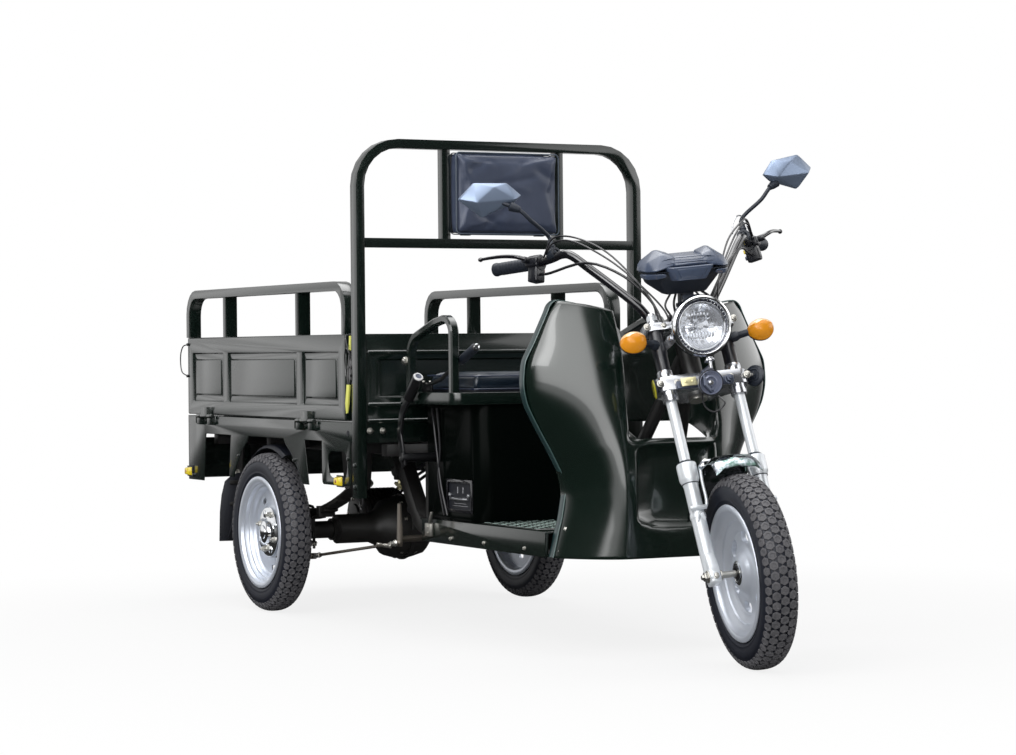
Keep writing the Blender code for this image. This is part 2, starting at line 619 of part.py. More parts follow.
def make_gates(hinges, finishes):
    w = BED_HALF_WIDTH
    for side, name in ((-1, "right"), (1, "left")):
        hinge = hinges[name]
        inner = side * (w - GATE_THICKNESS)
        panel, cuts, fields = gate_panel(side * w, inner, (GATE_FRONT, BED_REAR), GATE_Z,
                                         (-0.263, 0.320), side)
        shapes = []
        for station in HINGE_STATIONS:
            shapes.append(cylinder((side * HINGE_OUT, station - 0.026, HINGE_Z),
                                   (side * HINGE_OUT, station + 0.026, HINGE_Z), 0.007, segments=12))
            shapes.append(box(tuple(sorted((side * (w - 0.003), side * (HINGE_OUT + 0.004)))),
                              (station - 0.026, station + 0.026), (HINGE_Z, 0.600)))
        body = piece(f"gate_{name}", [panel], finishes["paint"], hinge, cutters=cuts, offset=-hinge.location)
        extra = fields + shapes
        merge_onto(body, extra, f"gate_{name}")
        x = side * (w - 0.020)
        z = RAIL_TOP - RAIL_SECTION[0] / 2
        foot = GATE_Z[1] + SEAM
        ends = (GATE_FRONT + 0.013, BED_REAR - 0.004)
        path = rounded([(x, ends[0], foot), (x, ends[0], z), (x, ends[1], z), (x, ends[1], foot)], RAIL_CORNER, 5,
                       closed=False)
        shapes = [sweep(path, oblong(*RAIL_SECTION), first_axis=(0, 1, 0))]
        for y in RAIL_POSTS:
            shapes.append(box((x - 0.0185, x + 0.0185), (y - 0.013, y + 0.013), (foot, z)))
        piece(f"gate_rail_{name}", shapes, finishes["paint"], hinge, offset=-hinge.location)
    hinge = hinges["tail"]
    t = TAIL_HALF_WIDTH
    shapes = [box((-t, t), (BED_REAR - GATE_THICKNESS, BED_REAR), (GATE_Z[0], GATE_Z[1] - TAIL_DROP), 0.003)]
    b = TAIL_BARREL_HALF
    for x in TAIL_HINGE_X:
        shapes.append(cylinder((x - b, TAIL_HINGE, HINGE_Z), (x + b, TAIL_HINGE, HINGE_Z), 0.007, segments=12))
        shapes.append(box((x - b, x + b), (BED_REAR - 0.003, TAIL_HINGE + 0.004), (HINGE_Z, 0.600)))
    piece("tailgate", shapes, finishes["paint"], hinge, offset=-hinge.location,
          cutters=[box((-t + 0.045, t - 0.045), (BED_REAR - 0.006, BED_REAR + 0.01), (GATE_Z[0] + 0.0415, GATE_Z[1] - 0.054), 0.004)])


def hull(points):
    """Faceted closed shape round the given points."""
    bm = bmesh.new()
    for point in points:
        bm.verts.new(point)
    made = bmesh.ops.convex_hull(bm, input=bm.verts)
    loose = {v for v in made["geom_interior"] if isinstance(v, bmesh.types.BMVert)}
    bmesh.ops.delete(bm, geom=list(loose), context="VERTS")
    bmesh.ops.recalc_face_normals(bm, faces=bm.faces)
    return bm


def merge_onto(body, shapes, name):
    """Joins more shapes onto a finished body."""
    group = bpy.data.collections.new(f"{name}_added")
    bpy.context.scene.collection.children.link(group)
    tools = []
    for k, bm in enumerate(shapes):
        tool = helper(bm, f"{name}_added_{k}")
        bpy.context.scene.collection.objects.unlink(tool)
        group.objects.link(tool)
        tool.parent = body.parent
        tool.location = body.location
        tools.append(tool)
    bpy.context.view_layer.update()
    modifier = body.modifiers.new("Join", "BOOLEAN")
    modifier.operation = "UNION"
    modifier.operand_type = "COLLECTION"
    modifier.collection = group
    modifier.solver = "EXACT"
    graph = bpy.context.evaluated_depsgraph_get()
    joined = bpy.data.meshes.new_from_object(body.evaluated_get(graph))
    body.modifiers.clear()
    body.data = joined
    for tool in tools:
        bpy.data.objects.remove(tool, do_unlink=True)


# Rear axle and springs
def leaf_spring_shape():
    """Four leaves of falling length under a main leaf with an eye at each end, as one stepped outline."""
    half, sag, leaf = 0.42, 0.095, 0.007
    eye_z = 0.388
    low = eye_z - sag

    def height(y):
        return low + sag * (y / half) ** 2

    steps = 12
    top = [(-half + 2 * half * k / (2 * steps), height(-half + 2 * half * k / (2 * steps)) + leaf / 2)
           for k in range(2 * steps + 1)]
    under = []
    reaches = (0.42, 0.32, 0.23, 0.14)
    for level, reach in enumerate(reaches):
        nxt = reaches[level + 1] if level + 1 < len(reaches) else 0.0
        count = 3
        for k in range(count + 1):
            y = reach + (nxt - reach) * k / count
            under.append((y, height(y) - leaf / 2 - leaf * level))
        if nxt == 0.0:
            break
    left = [(-y, z) for y, z in reversed(under)]
    outline = top + under[:-1] + left
    body = plate(outline, "X", -SPRING_WIDTH / 2, SPRING_WIDTH / 2)
    eyes = []
    for end in (-1, 1):
        y = end * (half + 0.004)
        eyes.append(cylinder((-0.0242, y, eye_z + 0.004), (0.0242, y, eye_z + 0.004), 0.014, segments=12))
    return [body] + eyes, low


def make_axle(root, finishes):
    z = WHEEL_RADIUS
    for side, name in ((-1, "right"), (1, "left")):
        shapes, low = leaf_spring_shape()
        shift = Matrix.Translation((side * SPRING_X, 0, 0))
        piece(f"leaf_spring_{name}", [moved(s, shift) for s in shapes], finishes["spring"], root)
    profile = [(-0.4145, 0.0), (-0.4145, 0.030), (-0.400, 0.030), (-0.400, 0.095), (-0.376, 0.098), (-0.372, 0.075), (-0.366, 0.026)]
    shapes = [turned(profile + [(-0.225, 0.026), (-0.215, 0.044), (-0.110, 0.044), (-0.085, 0.055), (-0.060, 0.085), (-0.02, 0.096), (0.02, 0.096),
                                (0.060, 0.085), (0.085, 0.055), (0.110, 0.044),
                                (0.215, 0.044), (0.225, 0.026)]
                     + [(-a, b) for a, b in reversed(profile)], 18, at=(0, 0, z))]
    for side in (-1, 1):
        x = side * SPRING_X
        shapes.append(box((x - 0.03, x + 0.03), (-0.04, 0.04), (z, low - 0.0250)))
        arm = [(0.02, z - 0.035), (-0.02, z - 0.06), (BRAKE_ROD_REAR[0] + 0.012, BRAKE_ROD_REAR[1] - 0.012),
               (BRAKE_ROD_REAR[0] - 0.010, BRAKE_ROD_REAR[1] - 0.004),
               (BRAKE_ROD_REAR[0] - 0.006, BRAKE_ROD_REAR[1] + 0.012), (-0.05, z - 0.020), (0.02, z)]
        shapes.append(plate(arm, "X", side * 0.379, side * 0.366))
    piece("rear_axle", shapes, finishes["underframe"], root)
    profile = [(-0.075, 0.0), (-0.075, 0.060), (-0.065, 0.078), (0.065, 0.078), (0.075, 0.060), (0.075, 0.0)]
    piece("drive_motor", [turned(profile, 18, at=(0.0, 0.172, z + 0.03)),
                          box((-0.045, 0.045), (0.0965, 0.13), (z - 0.02, z + 0.045), 0.004)],
          finishes["underframe"], root)


def mudguard(radius, half_width, start, sweep_angle, steps, drop=0.012, sheet=0.002):
    """Curved guard over a wheel: an arched section spun about the wheel's axis, angles from straight down."""
    outer = [(-half_width, radius - drop), (-half_width * 0.72, radius - drop * 0.25), (0, radius),
             (half_width * 0.72, radius - drop * 0.25), (half_width, radius - drop)]
    inner = [(a * (1 - sheet / half_width), b - sheet) for a, b in reversed(outer)]
    return turned(outer + inner, steps, ring=True, angle=sweep_angle, start=start)


def make_rear_guards(root, finishes):
    for side, name in ((-1, "right"), (1, "left")):
        guard = mudguard(0.262, 0.033, math.radians(95), math.radians(112), 12)
        guard = moved(guard, Matrix.Translation((side * 0.402, 0, WHEEL_RADIUS)))
        flap = plate([(0.247, 0.302), (0.261, 0.302), (0.335, 0.190), (0.331, 0.190)], "X",
                     side * 0.372, side * 0.434)
        stay = box(tuple(sorted((side * 0.372, side * 0.379))), (0.108, 0.132), (0.452, 0.480 - SEAM))
        piece(f"rear_mudguard_{name}", [guard, flap, stay], finishes["guard"], root)
        lamp = [box(tuple(sorted((side * 0.330, side * 0.425))), (0.648, 0.672), (0.415, 0.465), 0.006, 2)]
        piece(f"tail_lamp_{name}", lamp, finishes["red_lens"], root)


def make_controls_on_body(root, finishes):
    out = SEAT_HALF_WIDTH + 0.020
    wall = -SEAT_BOX_HALF_WIDTH - SEAM
    path = rounded([(-out, -0.800, 0.455), (-out, -0.772, 0.545), (-out, -0.790, 0.602), (-out, -0.852, 0.660)],
                   0.03, 3, closed=False)
    shapes = [sweep(path, oblong(0.007, 0.024), first_axis=(1, 0, 0)),
              cylinder((-out, -0.832, 0.641), (-out, -0.893, 0.698), 0.0150, segments=14),
              cylinder((wall, -0.795, 0.478), (-out - 0.008, -0.795, 0.478), 0.013, segments=14)]
    piece("parking_brake", shapes, finishes["steel"], root)
    inner = SEAT_HALF_WIDTH - 0.0445
    base = SEAT_Z[1] + SEAM
    shapes = [box((-inner - 0.005, -inner + 0.005), (-0.845, -0.785), (base, base + 0.026), 0.004),
              tube([(-inner, -0.815, base + 0.016), (-inner, -0.900, 0.692), (-inner, -1.030, 0.744)], 0.006, 8),
              cylinder((-inner, -1.020, 0.740), (-inner, -1.112, 0.777), 0.0105, segments=12)]
    piece("hand_brake", shapes, finishes["steel"], root)
    front, rear = BRAKE_ROD_FRONT, BRAKE_ROD_REAR
    shaft_z = LOWER_RAIL_Z[0] - SEAM - BRAKE_SHAFT_RADIUS
    x = BRAKE_ROD_X
    shapes = [cylinder((-x, front[0], shaft_z), (x, front[0], shaft_z), BRAKE_SHAFT_RADIUS, segments=12)]
    for side in (-1, 1):
        crank = [(front[0] - 0.010, 0.232), (front[0] + 0.010, 0.232), (front[0] + 0.013, shaft_z),
                 (front[0] + 0.006, 0.350), (front[0] - 0.006, 0.350), (front[0] - 0.013, shaft_z)]
        shapes.append(plate(crank, "X", side * x, side * (x - 0.007)))
        shapes.append(tube([(side * x, *front), (side * x, *rear)], 0.0045, 8))
        shapes.append(cylinder((side * (x - 0.010), *rear), (side * (0.366 - SEAM), *rear), 0.009, segments=12))
        shapes.append(cylinder((side * (x - 0.010), *front), (side * (x + 0.012), *front), 0.008, segments=10))
    piece("brake_linkage", shapes, finishes["steel"], root)
    path = [(-0.10, -1.42, FLOOR_TOP + SEAM), (-0.10, -1.42, 0.35), (-0.10, -1.36, 0.40)]
    piece("brake_pedal", [tube(path, 0.008, 8, bend=0.02, steps=2),
                          box((-0.135, -0.065), (-1.385, -1.325), (0.394, 0.408), 0.003)], finishes["steel"], root)


# Steering
def steering_matrix(turn):
    return (Matrix.Translation(STEER_PIVOT) @ Matrix.Rotation(-RAKE, 4, "X") @ Matrix.Rotation(turn, 4, "Z"))


def front_axle_height():
    """Where along the legs the axle lies, so that the leaning tyre just touches the ground."""
    lean = math.asin(math.sin(RAKE) * abs(math.sin(STEER_AT_REST)))
    reach = max(b * math.cos(lean) + abs(a) * math.sin(lean) for a, b in tyre_profile())
    return (reach - STEER_PIVOT[2] - WHEEL_OFFSET * math.sin(RAKE) * math.cos(STEER_AT_REST)) / math.cos(RAKE)


def make_fork(steer, finishes):
    axle_z = front_axle_height()
    y = -LEG_OFFSET
    shapes = []
    for z in (LOWER_CLAMP, UPPER_CLAMP):
        outline = rounded([(-0.118, -0.072), (0.118, -0.072), (0.118, -0.020), (0.040, 0.036), (-0.040, 0.036),
                           (-0.118, -0.020)], 0.022, 3)
        shapes.append(plate(outline, "Z", *z))
    lower, upper = shapes
    bores = [cylinder((side * LEG_SPACING_HALF, y, -0.2), (side * LEG_SPACING_HALF, y, 0.3),
                      STANCHION_RADIUS + SEAM, segments=16) for side in (-1, 1)]
    piece("fork_lower_clamp", [lower], finishes["alloy"], steer, cutters=bores)
    bores = [cylinder((side * LEG_SPACING_HALF, y, -0.2), (side * LEG_SPACING_HALF, y, 0.3),
                      STANCHION_RADIUS + SEAM, segments=16) for side in (-1, 1)]
    piece("fork_upper_clamp", [upper], finishes["alloy"], steer, cutters=bores)
    for side, name in ((-1, "right"), (1, "left")):
        x = side * LEG_SPACING_HALF
        shapes = [cylinder((x, y, COLLAR_Z[0]), (x, y, 0.150), STANCHION_RADIUS, segments=16),
                  cylinder((x, y, COLLAR_Z[0]), (x, y, COLLAR_Z[1]), COLLAR_RADIUS, segments=16),
                  cylinder((x, y, axle_z - 0.02), (x, y, COLLAR_Z[0] + 0.01), SLIDER_RADIUS, segments=16),
                  box((x - 0.014, x + 0.014), (-WHEEL_OFFSET - 0.018, -WHEEL_OFFSET + 0.026),
                      (axle_z - 0.022, axle_z + 0.022), 0.006, 2),
                  cylinder((side * 0.0326, -WHEEL_OFFSET, axle_z), (x, -WHEEL_OFFSET, axle_z), 0.011, segments=12),
                  cylinder((x, -WHEEL_OFFSET, axle_z), (x + side * 0.026, -WHEEL_OFFSET, axle_z), 0.011,
                           segments=6)]
        piece(f"fork_leg_{name}", shapes, finishes["alloy"], steer)
    guard = mudguard(0.287, 0.060, math.radians(138), math.radians(66), 16, drop=0.018)
    for vert in guard.verts:
        _, y, z = vert.co
        past = math.degrees(math.atan2(-y, z)) - 12.0
        if past > 0:
            inward = 1.0 - 0.0008 * past * past
            vert.co *= Vector((1.0, inward, inward))
    guard = moved(guard, Matrix.Translation((0, -WHEEL_OFFSET, axle_z)))
    stays = []
    for side in (-1, 1):
        stays.append(box(tuple(sorted((side * 0.050, side * (LEG_SPACING_HALF - COLLAR_RADIUS - SEAM)))),
                         (-0.062, -0.038), (-0.284, -0.258)))
    piece("front_mudguard", [guard] + stays, finishes["chrome"], steer)


def smooth_route(points, steps):
    """Smooth curve through the given points."""
    ends = [points[0] * 2 - points[1]] + points + [points[-1] * 2 - points[-2]]
    route = []
    for a, b, c, d in zip(ends, ends[1:], ends[2:], ends[3:]):
        for k in range(steps):
            t = k / steps
            route.append(0.5 * ((2 * b) + (c - a) * t + (2 * a - 5 * b + 4 * c - d) * t ** 2
                                + (3 * b - a - 3 * c + d) * t ** 3))
    return route + [points[-1]]


def make_bar(steer, finishes):
    half = [(0.0, 0.016, 0.150), (0.055, 0.010, 0.150), (0.110, -0.006, 0.215), (0.235, 0.044, 0.388),
            (0.272, 0.111, 0.3954), (0.363, 0.238, 0.443)]
    path = [(-x, y, z) for x, y, z in reversed(half[1:])] + half
    piece("handlebar", [tube(path, 0.011, 10, bend=0.035, steps=2),
                        box((-0.030, 0.030), (-0.004, 0.036), (UPPER_CLAMP[1] + SEAM, 0.166), 0.004)],
          finishes["steel"], steer)
    for side, name in ((-1, "right"), (1, "left")):
        a = Vector((side * 0.300, 0.150, 0.410))
        b = Vector((side * 0.363, 0.238, 0.443))
        d = (b - a).normalized()
        e = b + d * 0.012
        shapes = [cylinder(a - d * 0.0, e, 0.0165, segments=14)]
        bore = [cylinder(a - d * 0.1, b + d * 0.0005, 0.0118, segments=10)]
        switch = a - d * 0.004
        shapes.append(cylinder(switch - d * 0.03, a + d * 0.004, 0.021, segments=12))
        along = Matrix.Translation(switch - d * 0.013) @ d.to_track_quat("X", "Z").to_matrix().to_4x4()
        shapes.append(moved(box((-0.016, 0.016), (-0.018, 0.018), (-0.052, -0.008), 0.005), along))
        out = Vector((side * 0.0, -0.060, 0.0))
        lever = [a + out * 0.3, a + out + d * 0.02, b + out * 0.9]
        shapes.append(tube(lever, 0.006, 8, bend=0.02, steps=2))
        shapes.append(cylinder(a, a + out * 0.45, 0.009, segments=8))
        piece(f"grip_{name}", shapes, finishes["rubber"], steer, cutters=bore)
        start = along @ Vector((-0.016 - SEAM, 0.0, -0.031))
        reach = Vector((side * 0.070, -0.040, UPPER_CLAMP[1] + SEAM))
        route = [start - d * 0.010, start - d * 0.030, Vector((side * 0.205, -0.002, 0.332)),
                 Vector((side * 0.135, -0.050, 0.265)), Vector((side * 0.080, -0.052, 0.190)), reach + Vector((0, 0, 0.03))]
        cable = [start] + smooth_route(route, 4) + [reach]
        piece(f"cable_{name}", [tube(cable, 0.0035, 8)], finishes["rubber"], steer)
        foot = Vector((side * 0.258, 0.0857, 0.4055))
        top = Vector((side * 0.350, 0.010, 0.505))
        centre = Vector((side * 0.410, 0.044, 0.546))
        shapes = [tube([foot, foot + Vector((0, -0.006, 0.045)), top, centre], 0.0052, 8, bend=0.02, steps=2),
                  cylinder(foot - Vector((0, 0, 0.0005)), foot + Vector((0, 0, 0.020)), 0.0095, segments=10)]
        rim = [(0.085, 0.005), (0.031, 0.044), (-0.060, 0.035), (-0.083, 0.007), (-0.051, -0.020), (0.021, -0.046)]
        ridge = [(0.030, -0.012, -0.026), (-0.048, -0.006, -0.022), (0.022, 0.027, -0.016), (-0.044, 0.022, -0.016)]
        head = hull([(side * u, 0.014, v) for u, v in rim] + [(side * u * 0.97, 0.002, v) for u, v in rim]
                    + [(side * u, y, v) for u, v, y in ridge])
        turn = Matrix.Translation(centre) @ Matrix.Rotation(math.radians(side * -8), 4, "Z") @ Matrix.Rotation(
            RAKE, 4, "X") @ Matrix.Rotation(math.radians(-14 if side > 0 else -2), 4, "Y")
        shapes.append(moved(head, turn))
        piece(f"mirror_{name}", shapes, finishes["plastic"], steer)


def make_front_lamps(steer, finishes):
    z = 0.070
    face = -0.150
    to_y = Matrix.Rotation(math.radians(90), 4, "Z")
    profile = [(0.0, 0.0), (0.002, 0.045), (0.0, 0.070), (-0.004, 0.076), (-0.016, 0.077), (-0.030, 0.070),
               (-0.054, 0.052), (-0.068, 0.025), (-0.070, 0.0)]
    shell = turned([(-a, b) for a, b in profile], 22)
    tilt = Matrix.Translation((0, face, z)) @ Matrix.Rotation(RAKE, 4, "X") @ to_y
    arm = box((-0.016, 0.016), (-0.110, -0.048), (0.080, UPPER_CLAMP[0] - SEAM))
    piece("headlamp", [moved(shell, tilt), arm], finishes["chrome"], steer)
    for side, name in ((-1, "right"), (1, "left")):
        lens = turned([(-0.024, 0.0), (-0.024, 0.008), (-0.012, 0.019), (0.010, 0.0265), (0.022, 0.020),
                       (0.030, 0.0)], 12)
        lens = moved(lens, Matrix.Translation((side * 0.166, -0.103, 0.066)) @ Matrix.Rotation(
            math.radians(90), 4, "Z") @ Matrix.Diagonal((1, 1.28, 1, 1)))
        stem = cylinder((side * 0.092, -0.060, 0.066), (side * 0.150, -0.100, 0.066), 0.009, segments=10)
        leg = Vector((side * LEG_SPACING_HALF, -LEG_OFFSET, 0))
        clamp = cylinder(leg + Vector((0, 0, LOWER_CLAMP[1] + SEAM)), leg + Vector((0, 0, UPPER_CLAMP[0] - SEAM)),
                         0.0185, segments=16)
        bore = cylinder(leg + Vector((0, 0, -0.03)), leg + Vector((0, 0, 0.12)), STANCHION_RADIUS + SEAM, segments=16)
        piece(f"signal_{name}", [lens, stem, clamp], finishes["amber_lens"], steer, cutters=[bore])
    horn = turned([(0.0, 0.0), (0.0, 0.034), (-0.010, 0.036), (-0.022, 0.030), (-0.034, 0.018), (-0.040, 0.0)], 20)
    piece("horn", [moved(horn, Matrix.Translation((0, -0.124, -0.066)) @ Matrix.Rotation(RAKE, 4, "X")
                         @ Matrix.Rotation(math.radians(-90), 4, "Z")),
                   cylinder((0, -0.0724, -0.046), (0, -0.130, -0.046), 0.012, segments=10)],
          finishes["plastic"], steer)
    half_lid = [(0.112, 0.030, 0.000), (0.112, -0.030, 0.003), (0.092, -0.060, 0.004), (0.108, 0.030, 0.028),
                (0.100, -0.024, 0.030), (0.062, 0.020, 0.058), (0.060, -0.040, 0.048), (0.050, -0.066, 0.008)]
    half_tub = [(0.104, 0.029, 0.004), (0.088, -0.050, 0.006), (0.096, 0.020, -0.024), (0.052, 0.018, -0.056),
                (0.050, -0.016, -0.056), (0.075, -0.046, -0.012)]
    half_chin = [(0.058, -0.060, 0.010), (0.040, -0.074, 0.006), (0.036, -0.064, -0.018), (0.050, -0.030, -0.020)]
    lid, tub, chin = (hull([(s * x, y, z) for x, y, z in half for s in (-1, 1)])
                      for half in (half_lid, half_tub, half_chin))
    post = plate([(-0.066, UPPER_CLAMP[1] + SEAM), (-0.030, UPPER_CLAMP[1] + SEAM), (-0.080, 0.215),
                  (-0.115, 0.215)], "X", -0.020, 0.020)
    tilt = Matrix.Translation((0, -0.112, 0.232)) @ Matrix.Rotation(math.radians(30), 4, "X")
    piece("instrument_pod", [moved(part, tilt) for part in (lid, tub, chin)] + [post], finishes["plastic"], steer)


def main():
    clear_scene()
    finishes = {
        "paint": finish("gloss_green_paint", (0.012, 0.032, 0.026), 0.22, 0.0, 0.6),
        "underframe": finish("underframe_black", (0.012, 0.012, 0.013), 0.5),
        "guard": finish("guard_plastic", (0.010, 0.010, 0.011), 0.45),
        "spring": finish("spring_steel", (0.03, 0.03, 0.032), 0.5, 0.6),
        "tyre": finish("tyre_rubber", (0.018, 0.018, 0.020), 0.75),
        "rubber": finish("grip_rubber", (0.014, 0.014, 0.015), 0.7),
        "rim": finish("rim_silver", (0.62, 0.64, 0.66), 0.32, 0.7),
        "alloy": finish("fork_silver", (0.68, 0.70, 0.72), 0.3, 0.6),
        "chrome": finish("chrome", (0.85, 0.86, 0.88), 0.06, 1.0),
        "steel": finish("black_steel", (0.02, 0.02, 0.022), 0.35, 0.2),
        "plastic": finish("gloss_plastic", (0.012, 0.014, 0.020), 0.3, 0.0, 0.3),
        "vinyl": finish("navy_vinyl", (0.010, 0.022, 0.075), 0.42),
        "amber_lens": finish("amber_lens", (0.85, 0.32, 0.01), 0.15, 0.0, 0.4),
        "red_lens": finish("red_lens", (0.55, 0.01, 0.01), 0.15, 0.0, 0.4),
    }
    root = pivot("tricycle", (0, AXLE_STATION, 0))
    make_chassis(root, finishes)
    make_floor(root, finishes)
    make_shield(root, finishes)
    lid = pivot("seat_lid_hinge", (0, -0.745, SEAT_Z[1] + 0.006), root)
    make_seat(root, lid, finishes)
    make_hoop(root, finishes)
    make_bed(root, finishes)
    hinges = {
        "right": pivot("gate_right_hinge", (-HINGE_OUT, 0, HINGE_Z), root),
        "left": pivot("gate_left_hinge", (HINGE_OUT, 0, HINGE_Z), root),
        "tail": pivot("tailgate_hinge", (0, TAIL_HINGE, HINGE_Z), root),
    }
    make_gates(hinges, finishes)
    make_axle(root, finishes)
    make_rear_guards(root, finishes)
    make_controls_on_body(root, finishes)
    steer = pivot("steering_axis", STEER_PIVOT, root)
    steer.rotation_mode = "ZYX"
    steer.rotation_euler = (-RAKE, 0, STEER_AT_REST)
    make_fork(steer, finishes)
    make_bar(steer, finishes)
    make_front_lamps(steer, finishes)
    for side, name in ((-1, "right"), (1, "left")):
        hub = pivot(f"rear_{name}_hub", (side * TRACK_HALF, 0, WHEEL_RADIUS), root)
        make_wheel(f"rear_{name}", hub, rear_rim_shape(), rim_windows(5, 0.112, 0.010, (-0.03, 0.03)), finishes,
                   mirror=side < 0)
    hub = pivot("front_hub", (0, -WHEEL_OFFSET, front_axle_height()), steer)
    make_wheel("front", hub, front_rim_shape(), rim_windows(6, 0.112, 0.016, (-0.05, 0.05)), finishes)


main()
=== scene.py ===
"""Looks of an electric cargo tricycle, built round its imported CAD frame.

The script dresses every rigid CAD node with a procedural finish, models the detailed pieces (tyres with their tread,
rims, lamps, levers, cables, cushions, latches and fastenings) and lights the vehicle on a pale floor. Lists of points
are written in millimetres through pairs() and points(); every other size is in metres.
"""
from __future__ import annotations

import logging
import math
import random
from dataclasses import dataclass, field
from enum import Enum
from typing import Iterable, Sequence

import bmesh
import bpy
from mathutils import Matrix, Vector


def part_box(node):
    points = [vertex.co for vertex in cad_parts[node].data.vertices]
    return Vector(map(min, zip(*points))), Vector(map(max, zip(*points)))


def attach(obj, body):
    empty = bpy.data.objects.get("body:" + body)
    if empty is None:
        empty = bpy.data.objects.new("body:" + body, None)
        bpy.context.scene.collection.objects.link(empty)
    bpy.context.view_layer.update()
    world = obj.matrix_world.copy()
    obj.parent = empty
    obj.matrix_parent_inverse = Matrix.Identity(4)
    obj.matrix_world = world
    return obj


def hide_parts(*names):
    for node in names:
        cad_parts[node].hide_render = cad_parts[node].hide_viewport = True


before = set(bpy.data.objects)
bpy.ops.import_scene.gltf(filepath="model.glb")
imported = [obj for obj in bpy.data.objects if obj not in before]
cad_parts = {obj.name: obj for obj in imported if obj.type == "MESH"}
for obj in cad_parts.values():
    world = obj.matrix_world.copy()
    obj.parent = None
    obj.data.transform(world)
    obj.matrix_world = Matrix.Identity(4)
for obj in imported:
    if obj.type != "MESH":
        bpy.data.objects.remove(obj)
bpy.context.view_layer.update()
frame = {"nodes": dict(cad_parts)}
LOG = logging.getLogger("tricycle")
Point = tuple[float, float, float]
Pair = tuple[float, float]
Mesh = bmesh.types.BMesh
Tree = bpy.types.NodeTree
Socket = bpy.types.NodeSocket
SIDES = ((-1, "right"), (1, "left"))
MILLIMETRES = 1000
OUT, UP = (1, 0, 0), (0, 0, 1)


class Body(Enum):
    """The rigid bodies of the frame."""

    CHASSIS = "chassis"
    STEERING = "steering"
    FRONT_WHEEL = "front_wheel"
    REAR_RIGHT = "rear_right_wheel"
    REAR_LEFT = "rear_left_wheel"
    RIGHT_GATE = "right_gate"
    LEFT_GATE = "left_gate"
    TAILGATE = "tail_gate"
    SEAT_LID = "seat_lid"


def turned_by(degrees: float, axis: str) -> Matrix:
    """Give a turn about an axis."""
    return Matrix.Rotation(math.radians(degrees), 4, axis)


shift = Matrix.Translation
AXLE = 0.788
HOME = shift((0.0, AXLE, 0.0))
STEER = shift((0.0, -1.723 + AXLE, 0.7)) @ turned_by(-24.0, "X") @ turned_by(-13.0, "Z")


# Nodes
def put(tree: Tree, kind: str, settings: dict | None = None, **links) -> bpy.types.Node:
    """Add a node, set its properties and feed its inputs.

    Args:
        tree: The tree that gets the node.
        kind: The node's Blender type.
        settings: Properties of the node, such as operation.
        **links: Input names (underscores for spaces) or iN for input number N, each a socket or a plain value.

    Returns:
        The new node.
    """
    node = tree.nodes.new(kind)
    for key, value in (settings or {}).items():
        setattr(node, key, value)
    for key, value in links.items():
        index = int(key[1:]) if key[0] == "i" and key[1:].isdigit() else key.replace("_", " ")
        if isinstance(value, Socket):
            tree.links.new(value, node.inputs[index])
        else:
            node.inputs[index].default_value = value
    return node


def calc(tree: Tree, operation: str, *values: Socket | float, clamp: bool = False) -> Socket:
    """Add a Math node and give its result."""
    inputs = {f"i{k}": value for k, value in enumerate(values)}
    return put(tree, "ShaderNodeMath", {"operation": operation, "use_clamp": clamp}, **inputs).outputs[0]


def fade(tree: Tree, value: Socket, start: float, end: float, low: float = 0.0, high: float = 1.0) -> Socket:
    """Give a soft step of a value: low up to the start, high from the end on."""
    return put(
        tree, "ShaderNodeMapRange", {"clamp": True, "interpolation_type": "SMOOTHSTEP"}, Value=value, i1=start, i2=end,
        i3=low, i4=high).outputs[0]


def new_group(name: str, inputs: dict[str, float], output: str) -> tuple[Tree, dict[str, Socket], Socket]:
    """Start a shader group with float inputs and one float output.

    Args:
        name: The group's name.
        inputs: Default value of each input.
        output: Name of the output.

    Returns:
        The node tree, its inputs by name and the Object coordinate.
    """
    tree = bpy.data.node_groups.new(name, "ShaderNodeTree")
    for label, value in inputs.items():
        tree.interface.new_socket(label, in_out="INPUT", socket_type="NodeSocketFloat").default_value = value
    tree.interface.new_socket(output, in_out="OUTPUT", socket_type="NodeSocketFloat")
    given = tree.nodes.new("NodeGroupInput").outputs
    point = tree.nodes.new("ShaderNodeTexCoord").outputs["Object"]
    return tree, {label: given[label] for label in inputs}, point


def close_group(tree: Tree, value: Socket) -> Tree:
    """Feed the group's output and give the group."""
    put(tree, "NodeGroupOutput", i0=value)
    return tree


